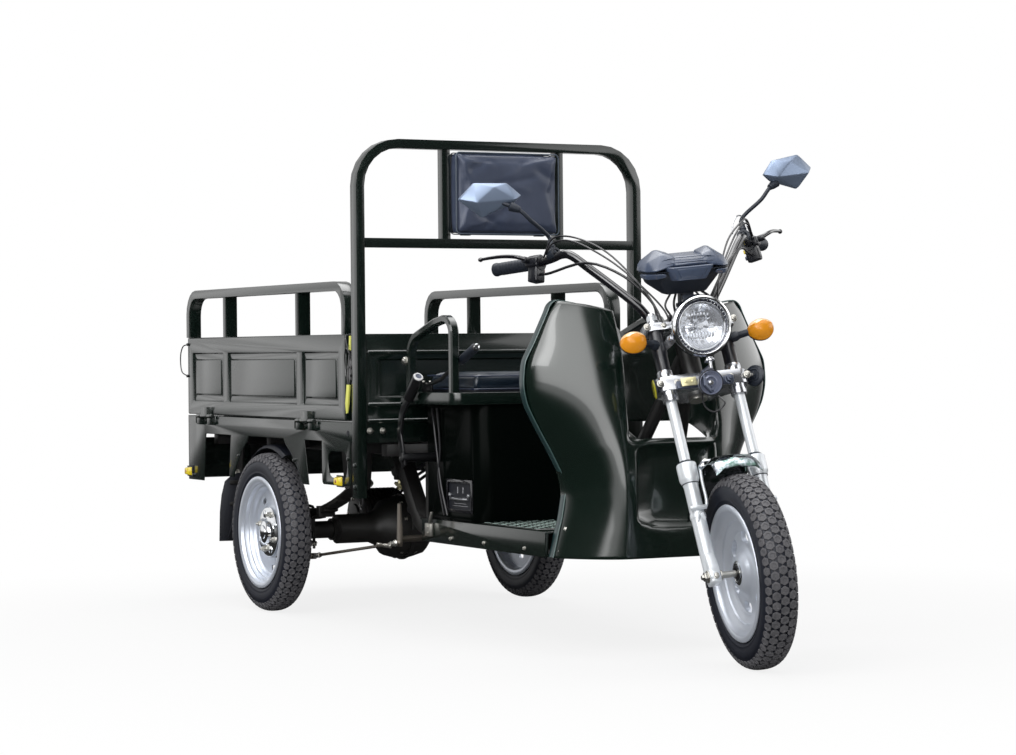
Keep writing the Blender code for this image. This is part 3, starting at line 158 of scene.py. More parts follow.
class Groups:
    """Builds each shared shader group once."""

    _made: dict[str, Tree] = {}

    @classmethod
    def place(cls, tree: Tree, name: str, **values: float) -> Socket:
        """Place the group of this name in a material with its own values, and give its output."""
        if name not in cls._made:
            cls._made[name] = getattr(cls, f"_{name}")()
        return put(tree, "ShaderNodeGroup", {"node_tree": cls._made[name]}, **values).outputs[0]

    @staticmethod
    def _mottle() -> Tree:
        """Slow variation of tone: Value runs about 0 to 1."""
        tree, given, point = new_group("mottle", {"Scale": 6.0, "Contrast": 1.0}, "Value")
        noise = put(tree, "ShaderNodeTexNoise", Vector=point, Scale=given["Scale"], Detail=3.0, Roughness=0.55)
        scaled = calc(tree, "MULTIPLY", calc(tree, "SUBTRACT", noise.outputs["Fac"], 0.5), given["Contrast"])
        return close_group(tree, calc(tree, "ADD", scaled, 0.5, clamp=True))

    @staticmethod
    def _grain() -> Tree:
        """Fine bumps for leather, moulded plastic and cast metal."""
        tree, given, point = new_group("grain", {"Scale": 400.0, "Pebble": 0.5}, "Height")
        cells = put(tree, "ShaderNodeTexVoronoi", {"feature": "SMOOTH_F1"}, Vector=point, Scale=given["Scale"])
        noise = put(tree, "ShaderNodeTexNoise", Vector=point, Scale=given["Scale"], Detail=2.0)
        mixed = put(
            tree, "ShaderNodeMix", {"data_type": "FLOAT"}, i0=given["Pebble"], i2=noise.outputs["Fac"],
            i3=cells.outputs["Distance"])
        return close_group(tree, mixed.outputs[0])

    @staticmethod
    def _dust() -> Tree:
        """Dust that settles near the ground: Mask runs 0 to 1."""
        tree, given, point = new_group("dust", {"Amount": 0.3, "Reach": 0.5}, "Mask")
        height = put(tree, "ShaderNodeSeparateXYZ", i0=point).outputs["Z"]
        low = put(tree, "ShaderNodeMapRange", {"clamp": True}, Value=height, i1=0.0, i2=given["Reach"], i3=1.0, i4=0.0)
        noise = put(tree, "ShaderNodeTexNoise", Vector=point, Scale=23.0, Detail=6.0, Roughness=0.7)
        both = calc(tree, "MULTIPLY", low.outputs[0], noise.outputs["Fac"])
        return close_group(tree, calc(tree, "MULTIPLY", both, given["Amount"], clamp=True))

    @staticmethod
    def _brushed() -> Tree:
        """Fine scratches along one axis for turned and brushed metal."""
        tree, given, point = new_group("brushed", {"Length": 8.0, "Width": 900.0}, "Height")
        scale = put(tree, "ShaderNodeCombineXYZ", X=given["Width"], Y=given["Width"], Z=given["Length"])
        scaled = put(tree, "ShaderNodeVectorMath", {"operation": "MULTIPLY"}, i0=point, i1=scale.outputs[0])
        noise = put(tree, "ShaderNodeTexNoise", Vector=scaled.outputs[0], Scale=1.0, Detail=2.0)
        return close_group(tree, noise.outputs["Fac"])


@dataclass(frozen=True)
class Finish:
    """One surface finish.

    Attributes:
        name: Material name.
        colour: Base colour, linear.
        second: Colour that the mottling moves towards.
        roughness: Middle roughness.
        spread: How far roughness moves with the mottling.
        metallic: Metal share.
        coat: Clear coat weight.
        coat_roughness: Roughness of the coat.
        mottle: Scale and contrast of the mottling.
        grain: Scale, pebble share and depth in metres of the fine bumps.
        brushed: Length and width scales of brushed scratches, with their depth, or None.
        dust: Amount and reach above the ground of settled dust.
        transmission: Share of light let through.
        ior: Index of refraction.
        glow: Strength of emission in the base colour.
    """

    name: str
    colour: Point
    second: Point
    roughness: float
    spread: float = 0.05
    metallic: float = 0.0
    coat: float = 0.0
    coat_roughness: float = 0.04
    mottle: Pair = (6.0, 1.2)
    grain: Point = (500.0, 0.4, 0.00002)
    brushed: Point | None = None
    dust: Pair = (0.0, 0.4)
    transmission: float = 0.0
    ior: float = 1.5
    glow: float = 0.0

    def build(self) -> bpy.types.Material:
        """Build the material, or give it back if it is there already."""
        if self.name in bpy.data.materials:
            return bpy.data.materials[self.name]
        material = bpy.data.materials.new(self.name)
        material.use_nodes = True
        tree = material.node_tree
        shader = tree.nodes["Principled BSDF"]
        mottle = Groups.place(tree, "mottle", Scale=self.mottle[0], Contrast=self.mottle[1])
        tone = put(
            tree, "ShaderNodeMix", {"data_type": "RGBA"}, i0=mottle, i6=(*self.colour, 1.0),
            i7=(*self.second, 1.0)).outputs[2]
        rough = put(
            tree, "ShaderNodeMapRange", Value=mottle, i3=max(0.0, self.roughness - self.spread),
            i4=self.roughness + self.spread).outputs[0]
        if self.dust[0] > 0:
            mask = Groups.place(tree, "dust", Amount=self.dust[0], Reach=self.dust[1])
            tone = put(
                tree, "ShaderNodeMix", {"data_type": "RGBA"}, i0=mask, i6=tone, i7=(0.3, 0.28, 0.25, 1.0)).outputs[2]
            rough = calc(tree, "ADD", rough, mask, clamp=True)
        tree.links.new(tone, shader.inputs["Base Color"])
        tree.links.new(rough, shader.inputs["Roughness"])
        for socket, value in (
                ("Metallic", self.metallic), ("Coat Weight", self.coat), ("Coat Roughness", self.coat_roughness),
                ("Transmission Weight", self.transmission), ("IOR", self.ior)):
            shader.inputs[socket].default_value = value
        if self.glow:
            shader.inputs["Emission Color"].default_value = (*self.colour, 1.0)
            shader.inputs["Emission Strength"].default_value = self.glow
        if self.brushed:
            fine = Groups.place(tree, "brushed", Length=self.brushed[0], Width=self.brushed[1])
        else:
            fine = Groups.place(tree, "grain", Scale=self.grain[0], Pebble=self.grain[1])
        depth = (self.brushed or self.grain)[2]
        if depth > 0:
            bump = put(tree, "ShaderNodeBump", Distance=depth, Strength=1.0, Height=fine)
            tree.links.new(bump.outputs["Normal"], shader.inputs["Normal"])
        return material


PAINT = Finish(
    "dark_green_paint", (0.003, 0.0082, 0.006), (0.0046, 0.0112, 0.0084), 0.24, 0.05, coat=0.8, coat_roughness=0.1,
    grain=(160.0, 0.0, 0.00002), dust=(0.05, 0.45))
PAINT_PIN = Finish(
    "painted_fastener", (0.006, 0.01, 0.0085), (0.012, 0.017, 0.015), 0.36, 0.08, coat=0.4, grain=(400.0, 0.2, 0.00003))
SHIELD_PAINT = Finish(
    "shield_green_paint", (0.0026, 0.0092, 0.006), (0.0036, 0.012, 0.008), 0.22, 0.04, coat=1.0, coat_roughness=0.06,
    grain=(60.0, 0.0, 0.00001), dust=(0.04, 0.4))
TRIM = Finish("teal_edge_band", (0.008, 0.028, 0.03), (0.012, 0.038, 0.04), 0.34, 0.06, coat=0.4)
# A lighter copy of the teal band's colour, laid as a thin line on the band's front corner: a painted highlight.
EDGE_HIGHLIGHT = Finish("painted_edge_highlight", (0.06, 0.11, 0.105), (0.08, 0.14, 0.135), 0.34, 0.06, coat=0.4)
BOX_PAINT = Finish(
    "seat_box_black", (0.0012, 0.0022, 0.0018), (0.0022, 0.0036, 0.0029), 0.22, 0.05, ior=1.1,
    grain=(120.0, 0.0, 0.00001))
CHEQUER = Finish(
    "chequer_plate", (0.1, 0.14, 0.13), (0.16, 0.21, 0.19), 0.26, 0.06, metallic=0.8, coat=0.3, dust=(0.05, 0.4))
UNDERFRAME = Finish(
    "underframe_black", (0.005, 0.005, 0.0055), (0.01, 0.0098, 0.0095), 0.46, 0.1, grain=(260.0, 0.3, 0.0001),
    dust=(0.1, 0.5))
GUARD = Finish(
    "guard_plastic", (0.0032, 0.0046, 0.01), (0.0052, 0.007, 0.014), 0.52, 0.08, grain=(700.0, 0.6, 0.00008),
    dust=(0.08, 0.5))
SPRING = Finish(
    "spring_steel", (0.008, 0.0078, 0.0078), (0.018, 0.016, 0.014), 0.5, 0.12, metallic=0.4, grain=(300.0, 0.2, 0.0001),
    dust=(0.12, 0.5))
RUBBER = Finish("tyre_rubber", (0.005, 0.0068, 0.015), (0.008, 0.0105, 0.021), 0.52, 0.08, grain=(900.0, 0.5, 0.00005))
# Tyre rubber for the tread blocks, made about ten times lighter than the carcass rubber: a painted highlight for light
# falling on the block tops.
LIT_TREAD = Finish(
    "tyre_tread_painted_highlight", (0.066, 0.066, 0.074), (0.125, 0.122, 0.13), 0.6, 0.08, grain=(900.0, 0.5, 0.00006),
    mottle=(60.0, 1.8))
GRIP = Finish("grip_rubber", (0.0095, 0.014, 0.024), (0.0145, 0.0205, 0.033), 0.5, 0.08, grain=(800.0, 0.6, 0.00008))
BAR = Finish("bar_black", (0.008, 0.008, 0.011), (0.012, 0.012, 0.016), 0.2, 0.04, metallic=0.2, coat=0.8)
RIM = Finish(
    "rim_silver", (0.6, 0.64, 0.72), (0.68, 0.72, 0.79), 0.34, 0.06, metallic=0.45, coat=0.3,
    grain=(600.0, 0.2, 0.00003))
ALLOY = Finish(
    "fork_silver", (0.74, 0.78, 0.82), (0.82, 0.85, 0.88), 0.34, 0.06, metallic=0.25, coat=0.5,
    brushed=(6.0, 700.0, 0.00001))
FORK_CHROME = Finish(
    "clamp_silver", (0.46, 0.47, 0.5), (0.56, 0.57, 0.6), 0.2, 0.06, metallic=0.85, coat=0.3,
    grain=(500.0, 0.2, 0.00003))
CHROME = Finish(
    "chrome_plate", (0.8, 0.82, 0.84), (0.86, 0.87, 0.88), 0.06, 0.03, metallic=1.0, grain=(60.0, 0.0, 0.000004))
REFLECTOR = Finish(
    "lamp_reflector", (0.84, 0.86, 0.9), (0.92, 0.93, 0.95), 0.18, 0.05, metallic=0.9, grain=(220.0, 0.0, 0.0001))
BEZEL = Finish("lamp_inner_ring", (0.05, 0.055, 0.085), (0.07, 0.078, 0.11), 0.28, 0.05, metallic=0.5, coat=0.5)
ZINC = Finish(
    "zinc_plate", (0.42, 0.41, 0.38), (0.55, 0.54, 0.5), 0.34, 0.08, metallic=0.9, grain=(500.0, 0.2, 0.00004))
BRASS = Finish(
    "brass_fitting", (0.56, 0.5, 0.26), (0.68, 0.64, 0.4), 0.34, 0.08, metallic=0.8, grain=(400.0, 0.2, 0.00004))
STEEL = Finish("black_steel", (0.007, 0.0072, 0.0085), (0.012, 0.0122, 0.014), 0.32, 0.06, metallic=0.2, coat=0.4)
PLASTIC = Finish(
    "moulded_black", (0.0085, 0.0095, 0.014), (0.013, 0.0145, 0.02), 0.34, 0.05, coat=0.2, grain=(900.0, 0.5, 0.00003))
POD = Finish(
    "slate_blue_plastic", (0.05, 0.072, 0.125), (0.066, 0.09, 0.15), 0.36, 0.05, coat=0.75, coat_roughness=0.25,
    grain=(900.0, 0.6, 0.00004))
MIRROR_SHELL = Finish(
    "mirror_shell", (0.19, 0.24, 0.34), (0.24, 0.3, 0.41), 0.38, 0.05, metallic=0.6, grain=(500.0, 0.6, 0.00005))
SLATE = Finish(
    "slate_bracket", (0.06, 0.072, 0.11), (0.08, 0.094, 0.135), 0.34, 0.06, metallic=0.4, grain=(500.0, 0.3, 0.00004))
HORN = Finish("horn_slate", (0.2, 0.225, 0.32), (0.26, 0.285, 0.38), 0.32, 0.05, metallic=0.3, coat=0.4)
VINYL = Finish(
    "navy_leatherette", (0.005, 0.012, 0.023), (0.009, 0.02, 0.036), 0.36, 0.07, coat=0.2, grain=(620.0, 0.8, 0.00018),
    mottle=(9.0, 1.6))
PIPING = Finish("navy_piping", (0.008, 0.016, 0.042), (0.012, 0.024, 0.06), 0.34, 0.06, grain=(700.0, 0.6, 0.0001))
PAD_CLOTH = Finish(
    "slate_pad_cover", (0.036, 0.048, 0.084), (0.062, 0.078, 0.128), 0.42, 0.08, coat=0.1, grain=(520.0, 0.6, 0.00012),
    mottle=(11.0, 1.8))
PAD_EDGE = Finish("pad_edge_cord", (0.06, 0.08, 0.105), (0.09, 0.115, 0.15), 0.44, 0.06, grain=(600.0, 0.4, 0.00006))
# Chrome for the front mudguard whose colour mottles in large patches from dark green to pale grey: painted reflections
# of the green bodywork and of bright surroundings.
PAINTED_REFLECTION_CHROME = Finish(
    "chrome_painted_reflections", (0.085, 0.135, 0.12), (0.4, 0.42, 0.47), 0.12, 0.05, metallic=1.0, mottle=(46.0, 5.0),
    grain=(34.0, 0.0, 0.0016))
OLIVE = Finish(
    "olive_reflector", (0.3, 0.28, 0.015), (0.42, 0.38, 0.03), 0.24, 0.06, coat=0.6, grain=(380.0, 1.0, 0.0002))
# Amber lens finish with a glow. On the signal and tail lamps the glow is lamp light; on the left fork reflector, which
# is no lamp, it is painted light.
AMBER = Finish(
    "amber_lens", (0.8, 0.2, 0.003), (0.98, 0.42, 0.01), 0.16, 0.04, coat=0.9, mottle=(75.0, 2.6),
    grain=(300.0, 1.0, 0.0004), glow=0.16)
# Pale, glowing amber for the band over each signal lens's top: a painted highlight.
LENS_TOP_HIGHLIGHT = Finish(
    "amber_lens_painted_highlight", (0.98, 0.6, 0.26), (1.0, 0.68, 0.34), 0.16, 0.04, coat=0.9, grain=(300.0, 1.0, 0.00025),
    glow=0.28)
EMBER = Finish("dark_amber_bulb", (0.34, 0.06, 0.004), (0.46, 0.1, 0.008), 0.3, 0.05, coat=0.4)
RED = Finish("red_lens", (0.5, 0.008, 0.006), (0.62, 0.015, 0.01), 0.14, 0.04, coat=0.8, grain=(260.0, 1.0, 0.0003))
YELLOW = Finish(
    "yellow_lens", (0.8, 0.6, 0.01), (0.9, 0.72, 0.05), 0.22, 0.06, coat=0.7, glow=0.1, grain=(380.0, 1.0, 0.0002))
STRAP = Finish("yellow_strap", (0.74, 0.76, 0.1), (0.84, 0.84, 0.2), 0.44, 0.08, grain=(700.0, 0.4, 0.00008))
CREAM = Finish("cream_plastic", (0.74, 0.75, 0.76), (0.84, 0.84, 0.84), 0.34, 0.06, coat=0.3)
GLASS = Finish(
    "lamp_glass", (0.97, 0.98, 1.0), (0.97, 0.98, 1.0), 0.02, 0.01, transmission=1.0, ior=1.45,
    grain=(90.0, 0.6, 0.00012))
MIRROR = Finish("mirror_glass", (0.8, 0.83, 0.86), (0.8, 0.83, 0.86), 0.02, 0.01, metallic=1.0, grain=(30.0, 0.0, 0.0))
SCREEN = Finish("instrument_screen", (0.01, 0.014, 0.02), (0.014, 0.018, 0.026), 0.1, 0.02, coat=1.0)
CABLE = Finish("cable_sheath", (0.007, 0.007, 0.009), (0.012, 0.012, 0.015), 0.36, 0.06, coat=0.2)
COPPER = Finish("brake_rod_steel", (0.16, 0.14, 0.12), (0.26, 0.23, 0.2), 0.4, 0.08, metallic=0.9, dust=(0.1, 0.4))


# Shapes
def pairs(*values: float) -> list[Pair]:
    """Group millimetre values in twos and give them in metres."""
    metres = [value / MILLIMETRES for value in values]
    return list(zip(metres[::2], metres[1::2]))


def on_circle(radius: float, index: float, count: int, step: float = 0.0) -> Pair:
    """Return place number index of count on a circle, in radians step further round from the second axis."""
    angle = 2 * math.pi * index / count + step
    return radius * math.sin(angle), radius * math.cos(angle)


def points(*values: float, side: int = 1) -> list[Point]:
    """Group millimetre values in threes and give them in metres.

    Args:
        *values: The values.
        side: -1 to put the points on the vehicle's right, 1 to leave them.

    Returns:
        The points.
    """
    metres = [value / MILLIMETRES for value in values]
    return [(side * x, y, z) for x, y, z in zip(metres[::3], metres[1::3], metres[2::3])]


def linked(name: str, data: bpy.types.ID) -> bpy.types.Object:
    """Make an object of the data and put it in the scene."""
    obj = bpy.data.objects.new(name, data)
    bpy.context.scene.collection.objects.link(obj)
    return obj


def to_mesh(name: str, bm: Mesh) -> bpy.types.Mesh:
    """Turn a bmesh, which is freed, into mesh data."""
    mesh = bpy.data.meshes.new(name)
    bm.to_mesh(mesh)
    bm.free()
    return mesh


def rounded(bm: Mesh, edges: Iterable[bmesh.types.BMEdge], radius: float, segments: int = 2, **more) -> None:
    """Round edges of a mesh.

    Args:
        bm: The mesh.
        edges: The edges.
        radius: Radius of the round.
        segments: Its steps.
        **more: More settings of the bevel.
    """
    bmesh.ops.bevel(
        bm, geom=list(edges), offset=radius, affect="EDGES", segments=segments, profile=0.5, material=-1, **more)


def section_circle(radius: float, sides: int) -> list[Pair]:
    """Give the points of a round section in its plane."""
    angles = [2 * math.pi * k / sides for k in range(sides)]
    return [(radius * math.cos(a), radius * math.sin(a)) for a in angles]


def box(low: Point, high: Point, bevel: float = 0.0, segments: int = 2) -> Mesh:
    """Box between two corners with rounded edges.

    Args:
        low: Lowest corner.
        high: Highest corner.
        bevel: Edge radius.
        segments: Steps of each rounded edge.

    Returns:
        The mesh.
    """
    bm = bmesh.new()
    bmesh.ops.create_cube(bm, size=1.0)
    bmesh.ops.scale(bm, vec=[b - a for a, b in zip(low, high)], verts=bm.verts)
    bmesh.ops.translate(bm, vec=[(a + b) / 2 for a, b in zip(low, high)], verts=bm.verts)
    if bevel:
        rounded(bm, bm.edges, bevel, segments, clamp_overlap=True)
    return bm


def rod(
        start: Sequence[float], end: Sequence[float], radius: float, sides: int = 16, bevel: float = 0.0,
        end_radius: float | None = None) -> Mesh:
    """Round or many-sided bar between two points.

    Args:
        start: Centre of the first end.
        end: Centre of the second end.
        radius: Radius at the start.
        sides: Sides of the bar.
        bevel: Radius of the end edges.
        end_radius: Radius at the end, or the same as radius.

    Returns:
        The mesh.
    """
    a, b = Vector(start), Vector(end)
    bm = bmesh.new()
    place = shift((a + b) / 2) @ (b - a).to_track_quat("Z", "Y").to_matrix().to_4x4()
    bmesh.ops.create_cone(
        bm, cap_ends=True, segments=sides, radius1=radius, radius2=radius if end_radius is None else end_radius,
        depth=(b - a).length, matrix=place)
    if bevel:
        rounded(bm, {e for f in bm.faces if len(f.verts) == sides for e in f.edges}, bevel)
    return bm


def turned(profile: Sequence[Pair], steps: int = 48, ring: bool = False) -> Mesh:
    """Profile of (along X, radius) pairs spun about X.

    Args:
        profile: The pairs, in order.
        steps: Steps of the full turn.
        ring: True where the profile closes on itself off the axis.

    Returns:
        The closed mesh.
    """
    bm = bmesh.new()
    verts = [bm.verts.new((a, 0.0, -r)) for a, r in profile]
    edges = [bm.edges.new(pair) for pair in zip(verts, verts[1:])]
    if ring:
        edges.append(bm.edges.new((verts[-1], verts[0])))
    bmesh.ops.spin(bm, geom=verts + edges, cent=(0, 0, 0), axis=OUT, angle=2 * math.pi, steps=steps, use_merge=True)
    bmesh.ops.remove_doubles(bm, verts=bm.verts, dist=1e-6)
    bmesh.ops.recalc_face_normals(bm, faces=bm.faces)
    return bm


def disc(
        profile: Sequence[Pair], at: Sequence[float], along: Sequence[float], steps: int = 40,
        ring: bool = False) -> Mesh:
    """Profile of (along, radius) pairs spun about a line.

    Args:
        profile: The pairs, measured from the start of the line.
        at: Start of the line.
        along: Direction of the line.
        steps: Steps of the full turn.
        ring: True where the profile closes on itself off the line.

    Returns:
        The mesh.
    """
    return placed(turned(profile, steps, ring), shift(at) @ Vector(along).to_track_quat("X", "Z").to_matrix().to_4x4())


def smooth_path(through: Sequence[Sequence[float]], steps: int = 6) -> list[Vector]:
    """Smooth curve through the given points (Catmull-Rom).

    Args:
        through: Points that the curve passes.
        steps: Points made for each stretch.

    Returns:
        The finer path.
    """
    p = [Vector(q) for q in through]
    ends = [p[0] * 2 - p[1]] + p + [p[-1] * 2 - p[-2]]
    path = []
    for k in range(1, len(ends) - 2):
        a, b, c, d = ends[k - 1:k + 3]
        for s in range(steps):
            t = s / steps
            path.append(
                0.5 * ((2 * b) + (c - a) * t + (2 * a - 5 * b + 4 * c - d) * t * t + (3 * b - a - 3 * c + d) * t ** 3))
    path.append(p[-1])
    return path


def tube_mesh(path: Sequence[Sequence[float]], radius: float, sides: int = 10) -> Mesh:
    """Round tube along a path, with closed ends.

    Args:
        path: Centre line.
        radius: Radius of the tube.
        sides: Sides of the tube.

    Returns:
        The mesh.
    """
    path = [Vector(p) for p in path]
    bm = bmesh.new()
    normal = Vector((0.31, 0.17, 0.93))
    rings = []
    for i, point in enumerate(path):
        ahead = (path[min(i + 1, len(path) - 1)] - path[max(i - 1, 0)]).normalized()
        normal = (normal - ahead * normal.dot(ahead)).normalized()
        across = ahead.cross(normal)
        rings.append([bm.verts.new(point + normal * a + across * b) for a, b in section_circle(radius, sides)])
    for a, b in zip(rings, rings[1:]):
        bmesh.ops.bridge_loops(bm, edges=ring_edges(bm, a) + ring_edges(bm, b))
    for ring in (rings[0], rings[-1]):
        bm.faces.new(ring)
    bmesh.ops.recalc_face_normals(bm, faces=bm.faces)
    return bm


def cord(through: Sequence[Sequence[float]], radius: float, sides: int = 10, steps: int = 6) -> Mesh:
    """Round tube along a smooth curve through the given points."""
    return tube_mesh(smooth_path(through, steps), radius, sides)


def ring_edges(bm: Mesh, ring: Sequence[bmesh.types.BMVert]) -> list[bmesh.types.BMEdge]:
    """Give the edges round a closed ring of vertices, made where they are missing."""
    return [bm.edges.get(pair) or bm.edges.new(pair) for pair in zip(ring, [*ring[1:], ring[0]])]


def hull(corners: Iterable[Sequence[float]], bevel: float = 0.0, segments: int = 3, mirrored: bool = False) -> Mesh:
    """Faceted closed shape round the given points, with rounded edges.

    Args:
        corners: The corners.
        bevel: Edge radius.
        segments: Steps of each rounded edge.
        mirrored: Whether each corner also stands at -x.

    Returns:
        The mesh.
    """
    bm = bmesh.new()
    for x, y, z in corners:
        bm.verts.new((x, y, z))
        if mirrored:
            bm.verts.new((-x, y, z))
    made = bmesh.ops.convex_hull(bm, input=bm.verts)
    loose = {v for v in made["geom_interior"] if isinstance(v, bmesh.types.BMVert)}
    bmesh.ops.delete(bm, geom=list(loose), context="VERTS")
    bmesh.ops.dissolve_limit(bm, angle_limit=math.radians(2.0), verts=bm.verts, edges=bm.edges)
    bmesh.ops.recalc_face_normals(bm, faces=bm.faces)
    if bevel:
        rounded(bm, bm.edges, bevel, segments, clamp_overlap=True)
    return bm


def hex_bolt(
        at: Sequence[float], along: Sequence[float], size: float, height: float, washer: bool = True,
        stud: float = 0.0) -> Mesh:
    """Hexagon head with a washer and a stud end.

    Args:
        at: Centre of its seat.
        along: Direction that the head stands in.
        size: Distance over the corners.
        height: Height of the head.
        washer: Whether a washer lies under it.
        stud: How far a threaded end stands out of it.

    Returns:
        The mesh.
    """
    base, up = Vector(at), Vector(along).normalized()
    under = up * (size * 0.12 if washer else 0.0)
    parts = [rod(base + under - up * 0.0005, base + under + up * height, size / 2, 6, bevel=size * 0.06)]
    if washer:
        parts.append(rod(base - up * 0.0008, base + under, size * 0.62, 20, bevel=size * 0.03))
    if stud:
        parts.append(rod(base, base + under + up * (height + stud), size * 0.26, 12, bevel=size * 0.05))
    return joined(parts)


def joined(meshes: Iterable[Mesh]) -> Mesh:
    """Gather several meshes, which are freed, in one."""
    whole = bmesh.new()
    for bm in meshes:
        part = to_mesh("part", bm)
        whole.from_mesh(part)
        bpy.data.meshes.remove(part)
    return whole


def placed(bm: Mesh, matrix: Matrix) -> Mesh:
    """Move a mesh by a matrix, keeping its faces outwards, and give it back."""
    bmesh.ops.transform(bm, matrix=matrix, verts=bm.verts)
    if matrix.determinant() < 0:
        bmesh.ops.reverse_faces(bm, faces=bm.faces)
    return bm


def paired(bm: Mesh) -> Mesh:
    """Add the mirror image of a mesh over the middle plane."""
    return joined([placed(bm.copy(), Matrix.Scale(-1, 4, OUT)), bm])


def carved(bm: Mesh, cutters: Iterable[Mesh]) -> Mesh:
    """Cut shapes out of a closed mesh.

    Args:
        bm: The mesh, which is freed.
        cutters: The closed shapes to take away, which are freed.

    Returns:
        The cut mesh.
    """
    body, tool = (linked("carve", to_mesh("carve", source)) for source in (bm, joined(cutters)))
    cut = body.modifiers.new("Cut", "BOOLEAN")
    cut.operation, cut.solver, cut.use_self, cut.object = "DIFFERENCE", "EXACT", True, tool
    result = bmesh.new()
    result.from_mesh(body.evaluated_get(bpy.context.evaluated_depsgraph_get()).to_mesh())
    for holder in (body, tool):
        mesh = holder.data
        bpy.data.objects.remove(holder)
        bpy.data.meshes.remove(mesh)
    return result


# Pieces
def piece(
        name: str, bm: Mesh, finish: Finish, body: Body, replaces: Sequence[str] = (), smooth: float = 35.0,
        subdivide: int = 0) -> bpy.types.Object:
    """Turn a mesh into a finished piece of the vehicle.

    Args:
        name: The piece's name.
        bm: Its mesh, in the vehicle's frame.
        finish: Its finish.
        body: The body that carries it.
        replaces: CAD nodes that it stands for.
        smooth: Angle in degrees past which an edge stays sharp.
        subdivide: Levels of subdivision.

    Returns:
        The object.
    """
    mesh = to_mesh(name, bm)
    obj = linked(name, mesh)
    mesh.materials.append(finish.build())
    mesh.shade_smooth()
    if subdivide:
        modifier = obj.modifiers.new("Subdivision", "SUBSURF")
        modifier.levels = modifier.render_levels = subdivide
    else:
        mesh.set_sharp_from_angle(angle=math.radians(smooth))
    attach(obj, body.value)
    if replaces:
        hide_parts(*replaces)
    LOG.info("%s: %d faces on %s", name, len(mesh.polygons), body.value)
    return obj


def steered(
        name: str, shapes: Iterable[Mesh], finish: Finish, replaces: Sequence[str] = (), at: Matrix = STEER,
        smooth: float = 35.0) -> bpy.types.Object:
    """Make a piece of the steering assembly from shapes in its own frame, or in the frame given by at."""
    return piece(name, placed(joined(shapes), at), finish, Body.STEERING, replaces, smooth)


def fixed(name: str, shapes: Iterable[Mesh], finish: Finish) -> bpy.types.Object:
    """Make a piece of the chassis from shapes measured from the rear axle's station."""
    return piece(name, placed(joined(shapes), HOME), finish, Body.CHASSIS)


def softened(node: str, finish: Finish, body: Body, bevel: float = 0.0015, angle: float = 40.0) -> None:
    """Copy a CAD node with its loose triangles merged and its edges rounded, and show it in the node's place.

    Args:
        node: The CAD node.
        finish: Its finish.
        body: The body that carries it.
        bevel: Radius of the rounded edges.
        angle: Edges bent more than this many degrees are rounded.
    """
    bm = bmesh.new()
    bm.from_mesh(frame["nodes"][node].data)
    bmesh.ops.remove_doubles(bm, verts=bm.verts, dist=1e-5)
    bmesh.ops.dissolve_limit(bm, angle_limit=math.radians(0.5), verts=bm.verts, edges=bm.edges)
    if bevel:
        sharp = [e for e in bm.edges if len(e.link_faces) == 2 and e.calc_face_angle(0.0) > math.radians(angle)]
        rounded(bm, sharp, bevel, clamp_overlap=True, loop_slide=False)
    piece(f"{node}_finished", bm, finish, body, [node], smooth=angle)


